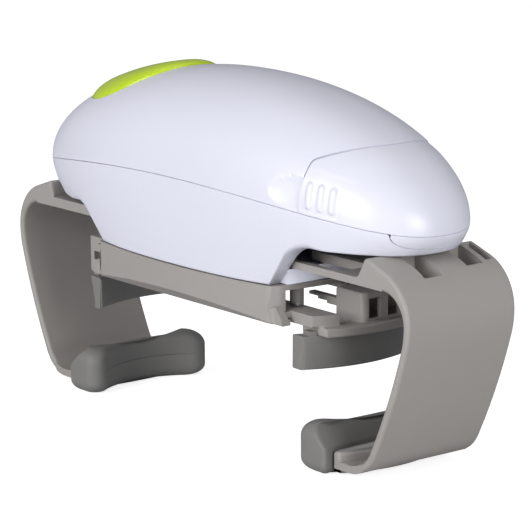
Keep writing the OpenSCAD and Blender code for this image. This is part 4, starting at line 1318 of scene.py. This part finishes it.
@dataclass
class LidJaw(MouldedCopy):
    """A lid jaw: its tower has soft corners, and a wall closes it behind the windows.

    Attributes:
        end: Which end it stands at.
        tower: Inner and outer face of the tower, in X.
        sides: The two sides of the tower, in Y.
        base_z: Top of the base plate.
        wall: Thickness of the wall behind the windows.
        inset: How far the wall stands in from the tower's face, and from its sides and top.
        corner_r: Radius of the tower's corners.
        rim_r: Radius round its top and the base plate.
        tall: Least height of an upright edge that is rounded.
    """

    end: End = End.FRONT
    tower: tuple[float, float] = (54.0, 67.5)
    sides: tuple[float, float] = (-6.0, 20.0)
    base_z: float = 46.7
    wall: float = 1.6
    inset: tuple[float, float] = (0.2, 0.4)
    corner_r: float = 2.4
    rim_r: float = 0.6
    tall: float = 3.0

    def round_all(self, piece: bpy.types.Object) -> None:
        """Round the tower's outer corners, its top and the base plate.

        Args:
            piece: The mesh object.
        """
        sign = self.end.value
        top = vertex_places(piece)[:, 2].max()

        def tower_corner(a: np.ndarray, b: np.ndarray) -> bool:
            """Tell whether an edge stands upright at the tower's outer face.

            Args:
                a: One end of the edge, in millimetres.
                b: Its other end.

            Returns:
                True if it does.
            """
            at_side = min(abs(sign * a[1] - y) + abs(sign * b[1] - y) for y in self.sides) < TOUCH
            at_face = min(sign * a[0], sign * b[0]) > self.tower[1] - TOUCH
            return abs(a[2] - b[2]) > self.tall and at_side and at_face

        round_edges(piece, self.corner_r, 5, tower_corner)

        def rim(a: np.ndarray, b: np.ndarray) -> bool:
            """Tell whether an edge runs round the tower's top or the base plate.

            Args:
                a: One end of the edge, in millimetres.
                b: Its other end.

            Returns:
                True if it does.
            """
            outer = min(sign * a[0], sign * b[0]) > self.tower[0] - TOUCH
            high = min(a[2], b[2]) > top - CLOSE
            low = max(a[2], b[2]) < self.base_z + CLOSE and abs(a[2] - b[2]) < CLOSE
            return outer and (high or low)

        round_edges(piece, self.rim_r, 2, rim)

    def build(self) -> bpy.types.Object:
        """Build the jaw with the wall behind its windows.

        Returns:
            The jaw.
        """
        jaw = super().build()
        top = vertex_places(jaw)[:, 2].max()
        deselect()
        bpy.ops.mesh.primitive_cube_add(size=1)
        wall = bpy.context.active_object
        wall.name = self.node + "_wall"
        sign = self.end.value
        back, side = self.inset
        low = np.array([self.tower[0] + back, self.sides[0] + side, self.base_z - back])
        high = np.array([self.tower[0] + back + self.wall, self.sides[1] - side, top - side])
        places = (vertex_places(wall) * MM + 0.5) * (high - low) + low
        places[:, :2] *= sign
        wall.data.vertices.foreach_set("co", (places * MM).ravel())
        dress(wall, self.finish, self.body, [self.node])
        return jaw


@dataclass
class LidPad(MouldedCopy):
    """The rubber pad of a lid jaw, with round ends.

    Attributes:
        end_r: Radius of the upright edges at its ends.
        foot_r: Radius round its foot.
        tall: Least height of an upright edge that is rounded.
    """

    end_r: float = 1.5
    foot_r: float = 0.6
    tall: float = 3.0

    def round_all(self, piece: bpy.types.Object) -> None:
        """Round the upright edges at both ends and the lower edges.

        Args:
            piece: The mesh object.
        """
        places = vertex_places(piece)
        foot, reach = places[:, 2].min(), np.abs(places[:, 1]).max()

        def end_edge(a: np.ndarray, b: np.ndarray) -> bool:
            """Tell whether an edge stands upright at an end of the pad."""
            return abs(a[2] - b[2]) > self.tall and min(abs(a[1]), abs(b[1])) > reach - TOUCH

        round_edges(piece, self.end_r, 5, end_edge, 20.0)

        def low_edge(a: np.ndarray, b: np.ndarray) -> bool:
            """Tell whether an edge runs round the pad's foot."""
            return max(a[2], b[2]) < foot + TOUCH

        round_edges(piece, self.foot_r, 2, low_edge, 20.0)


@dataclass
class Turntable(MouldedCopy):
    """The turntable that carries the lid jaws.

    Attributes:
        corner_x: X beyond which only its corners lie.
        corner_y: Y beyond which only its long sides lie.
        tall: Least height of an upright edge that is rounded.
        slant: How far such an edge may lean, in plan.
        corner_r: Radius of the corners.
        foot_r: Radius along the foot.
    """

    corner_x: float = 46.0
    corner_y: float = 25.0
    tall: float = 3.0
    slant: float = 2.5
    corner_r: float = 1.4
    foot_r: float = 0.5

    def round_all(self, piece: bpy.types.Object) -> None:
        """Round the upright corners and the lower edges.

        Args:
            piece: The mesh object.
        """
        foot = vertex_places(piece)[:, 2].min()

        def corner(a: np.ndarray, b: np.ndarray) -> bool:
            """Tell whether an edge stands upright at a corner.

            Args:
                a: One end of the edge, in millimetres.
                b: Its other end.

            Returns:
                True if it does.
            """
            steep = np.hypot(a[0] - b[0], a[1] - b[1]) < self.slant
            outer = min(abs(a[0]), abs(b[0])) > self.corner_x
            long_side = min(abs(a[1]), abs(b[1])) > self.corner_y
            return abs(a[2] - b[2]) > self.tall and steep and outer and long_side

        def lower(a: np.ndarray, b: np.ndarray) -> bool:
            """Tell whether an edge runs along the outer side of the foot."""
            return max(a[2], b[2]) < foot + TOUCH and min(abs(a[1]), abs(b[1])) > self.corner_y

        round_edges(piece, self.corner_r, 4, corner, 15.0)
        round_edges(piece, self.foot_r, 2, lower)


def build_moulded_parts() -> None:
    """Build the arms, the turntable, the jaws and the rubber pads."""
    for end in End:
        word = end.word
        JarArm(f"{word}_jar_arm", f"{word}_arm", GREY_ABS, "grey_plastic", end=end).build()
        JarPad(f"{word}_jar_pad", f"{word}_arm", RUBBER, "rubber", end=end).build()
        LidJaw(f"{word}_lid_jaw", f"{word}_jaw", GREY_ABS, "grey_plastic", end=end).build()
        LidPad(f"{word}_lid_pad", f"{word}_jaw", RUBBER, "rubber").build()
    Turntable("turntable", "turntable", GREY_ABS, "grey_plastic").build()


# ---------------------------------------------------------------- scene

@dataclass(frozen=True)
class Studio:
    """Camera, floor and lamps.

    Attributes:
        camera_at: Camera position in metres.
        look_at: Point in the middle of the picture.
        lens_mm: Focal length on a sensor 36 mm wide.
        roll_deg: Turn of the camera about its own axis.
        sensor_mm: Width of the camera's sensor.
        floor_m: Size of the floor.
        lamps_at: Point that the lamps face.
        card: Colour of the floor.
        card_glow: Share of white that the camera sees the floor give off.
        air: Colour of the surroundings, which light the object evenly.
        air_light: Strength of that light.
    """

    camera_at: tuple[float, float, float] = (0.7206, -0.5574, 0.2490)
    look_at: tuple[float, float, float] = (0.0046, 0.0038, 0.0539)
    lens_mm: float = 184.9
    roll_deg: float = -0.32
    sensor_mm: float = 36.0
    floor_m: float = 60.0
    lamps_at: tuple[float, float, float] = (0.0, 0.0, 0.07)
    card: str = "#d8d8da"
    card_glow: float = 0.8
    air: str = "#f4f5fa"
    air_light: float = 0.27

    def camera(self) -> None:
        """Place the camera at the photograph's viewpoint."""
        data = bpy.data.cameras.new("camera")
        data.sensor_width = self.sensor_mm
        data.lens = self.lens_mm
        camera = bpy.data.objects.new("camera", data)
        bpy.context.scene.collection.objects.link(camera)
        position, target = Vector(self.camera_at), Vector(self.look_at)
        forward = (target - position).normalized()
        right = forward.cross(Vector((0, 0, 1))).normalized()
        up = right.cross(forward)
        roll = math.radians(self.roll_deg)
        turned_right = right * math.cos(roll) + up * math.sin(roll)
        turned_up = up * math.cos(roll) - right * math.sin(roll)
        axes = Matrix((turned_right, turned_up, -forward)).transposed()
        camera.matrix_world = Matrix.Translation(position) @ axes.to_4x4()
        bpy.context.scene.camera = camera

    def lamp(self, name: str, at: tuple[float, float, float], size: float, watts: float) -> None:
        """Add a soft square lamp that faces the object.

        Args:
            name: Name of the lamp.
            at: Its place in metres.
            size: Side of the lamp in metres.
            watts: Its power.
        """
        data = bpy.data.lights.new(name, "AREA")
        data.size = size
        data.energy = watts
        lamp = bpy.data.objects.new(name, data)
        bpy.context.scene.collection.objects.link(lamp)
        lamp.location = at
        aim = Vector(self.lamps_at) - Vector(at)
        lamp.rotation_euler = aim.to_track_quat("-Z", "Y").to_euler()

    def floor(self) -> None:
        """Add the pale floor, which keeps the object's shadow."""
        bpy.ops.mesh.primitive_plane_add(size=self.floor_m)
        floor = bpy.context.active_object
        floor.name = "studio_floor"
        material = bpy.data.materials.new("white_card")
        material.use_nodes = True
        tree = material.node_tree
        shader = tree.nodes["Principled BSDF"]
        shader.inputs["Base Color"].default_value = linear(self.card)
        shader.inputs["Roughness"].default_value = 0.8
        shader.inputs["Emission Color"].default_value = (1, 1, 1, 1)
        rays = add_node(tree, "ShaderNodeLightPath")
        glow = add_node(tree, "ShaderNodeMath", {"operation": "MULTIPLY"})
        tree.links.new(rays.outputs["Is Camera Ray"], glow.inputs[0])
        glow.inputs[1].default_value = self.card_glow
        tree.links.new(glow.outputs[0], shader.inputs["Emission Strength"])
        floor.data.materials.append(material)

    def world(self) -> None:
        """Light the surroundings evenly, and show them white."""
        world = bpy.data.worlds.new("studio")
        bpy.context.scene.world = world
        world.use_nodes = True
        tree = world.node_tree
        soft = tree.nodes["Background"]
        soft.inputs["Color"].default_value = linear(self.air)
        soft.inputs["Strength"].default_value = self.air_light
        white = add_node(tree, "ShaderNodeBackground", {"Color": (1, 1, 1, 1), "Strength": 1.0})
        rays = add_node(tree, "ShaderNodeLightPath")
        either = add_node(tree, "ShaderNodeMixShader")
        tree.links.new(rays.outputs["Is Camera Ray"], either.inputs[0])
        tree.links.new(soft.outputs[0], either.inputs[1])
        tree.links.new(white.outputs[0], either.inputs[2])
        tree.links.new(either.outputs[0], tree.nodes["World Output"].inputs["Surface"])

    def build(self) -> None:
        """Set up the whole studio."""
        bpy.context.scene.view_settings.view_transform = "Standard"
        self.camera()
        self.floor()
        self.world()
        self.lamp("key", (0.1, -1.1, 0.5), 0.7, 10)
        self.lamp("top", (-0.25, 0.15, 1.1), 0.8, 1.0)
        self.lamp("side", (1.25, -0.1, 0.42), 0.6, 7.4)
        log.info("studio ready")


# ---------------------------------------------------------------- main

def node_slots() -> dict[str, str]:
    """Return the record's material slot of each node."""
    return {row["node"]: row["material_slot"] for row in frame["record"]["subparts"]}


def dress_nodes() -> None:
    """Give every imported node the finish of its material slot."""
    for node, slot in node_slots().items():
        data = frame["nodes"][node].data
        data.materials.clear()
        data.materials.append(SLOT_FINISH[slot].material())


def main() -> None:
    """Build every piece in order."""
    logging.basicConfig(level=logging.INFO, format="%(message)s")
    deselect()
    Studio().build()
    dress_nodes()
    form = HousingForm()
    UpperShell(form).build()
    BatteryCover(form).build()
    LowerShell(form).build()
    BUTTON.build(form)
    build_moulded_parts()


if __name__ == "__main__":
    main()
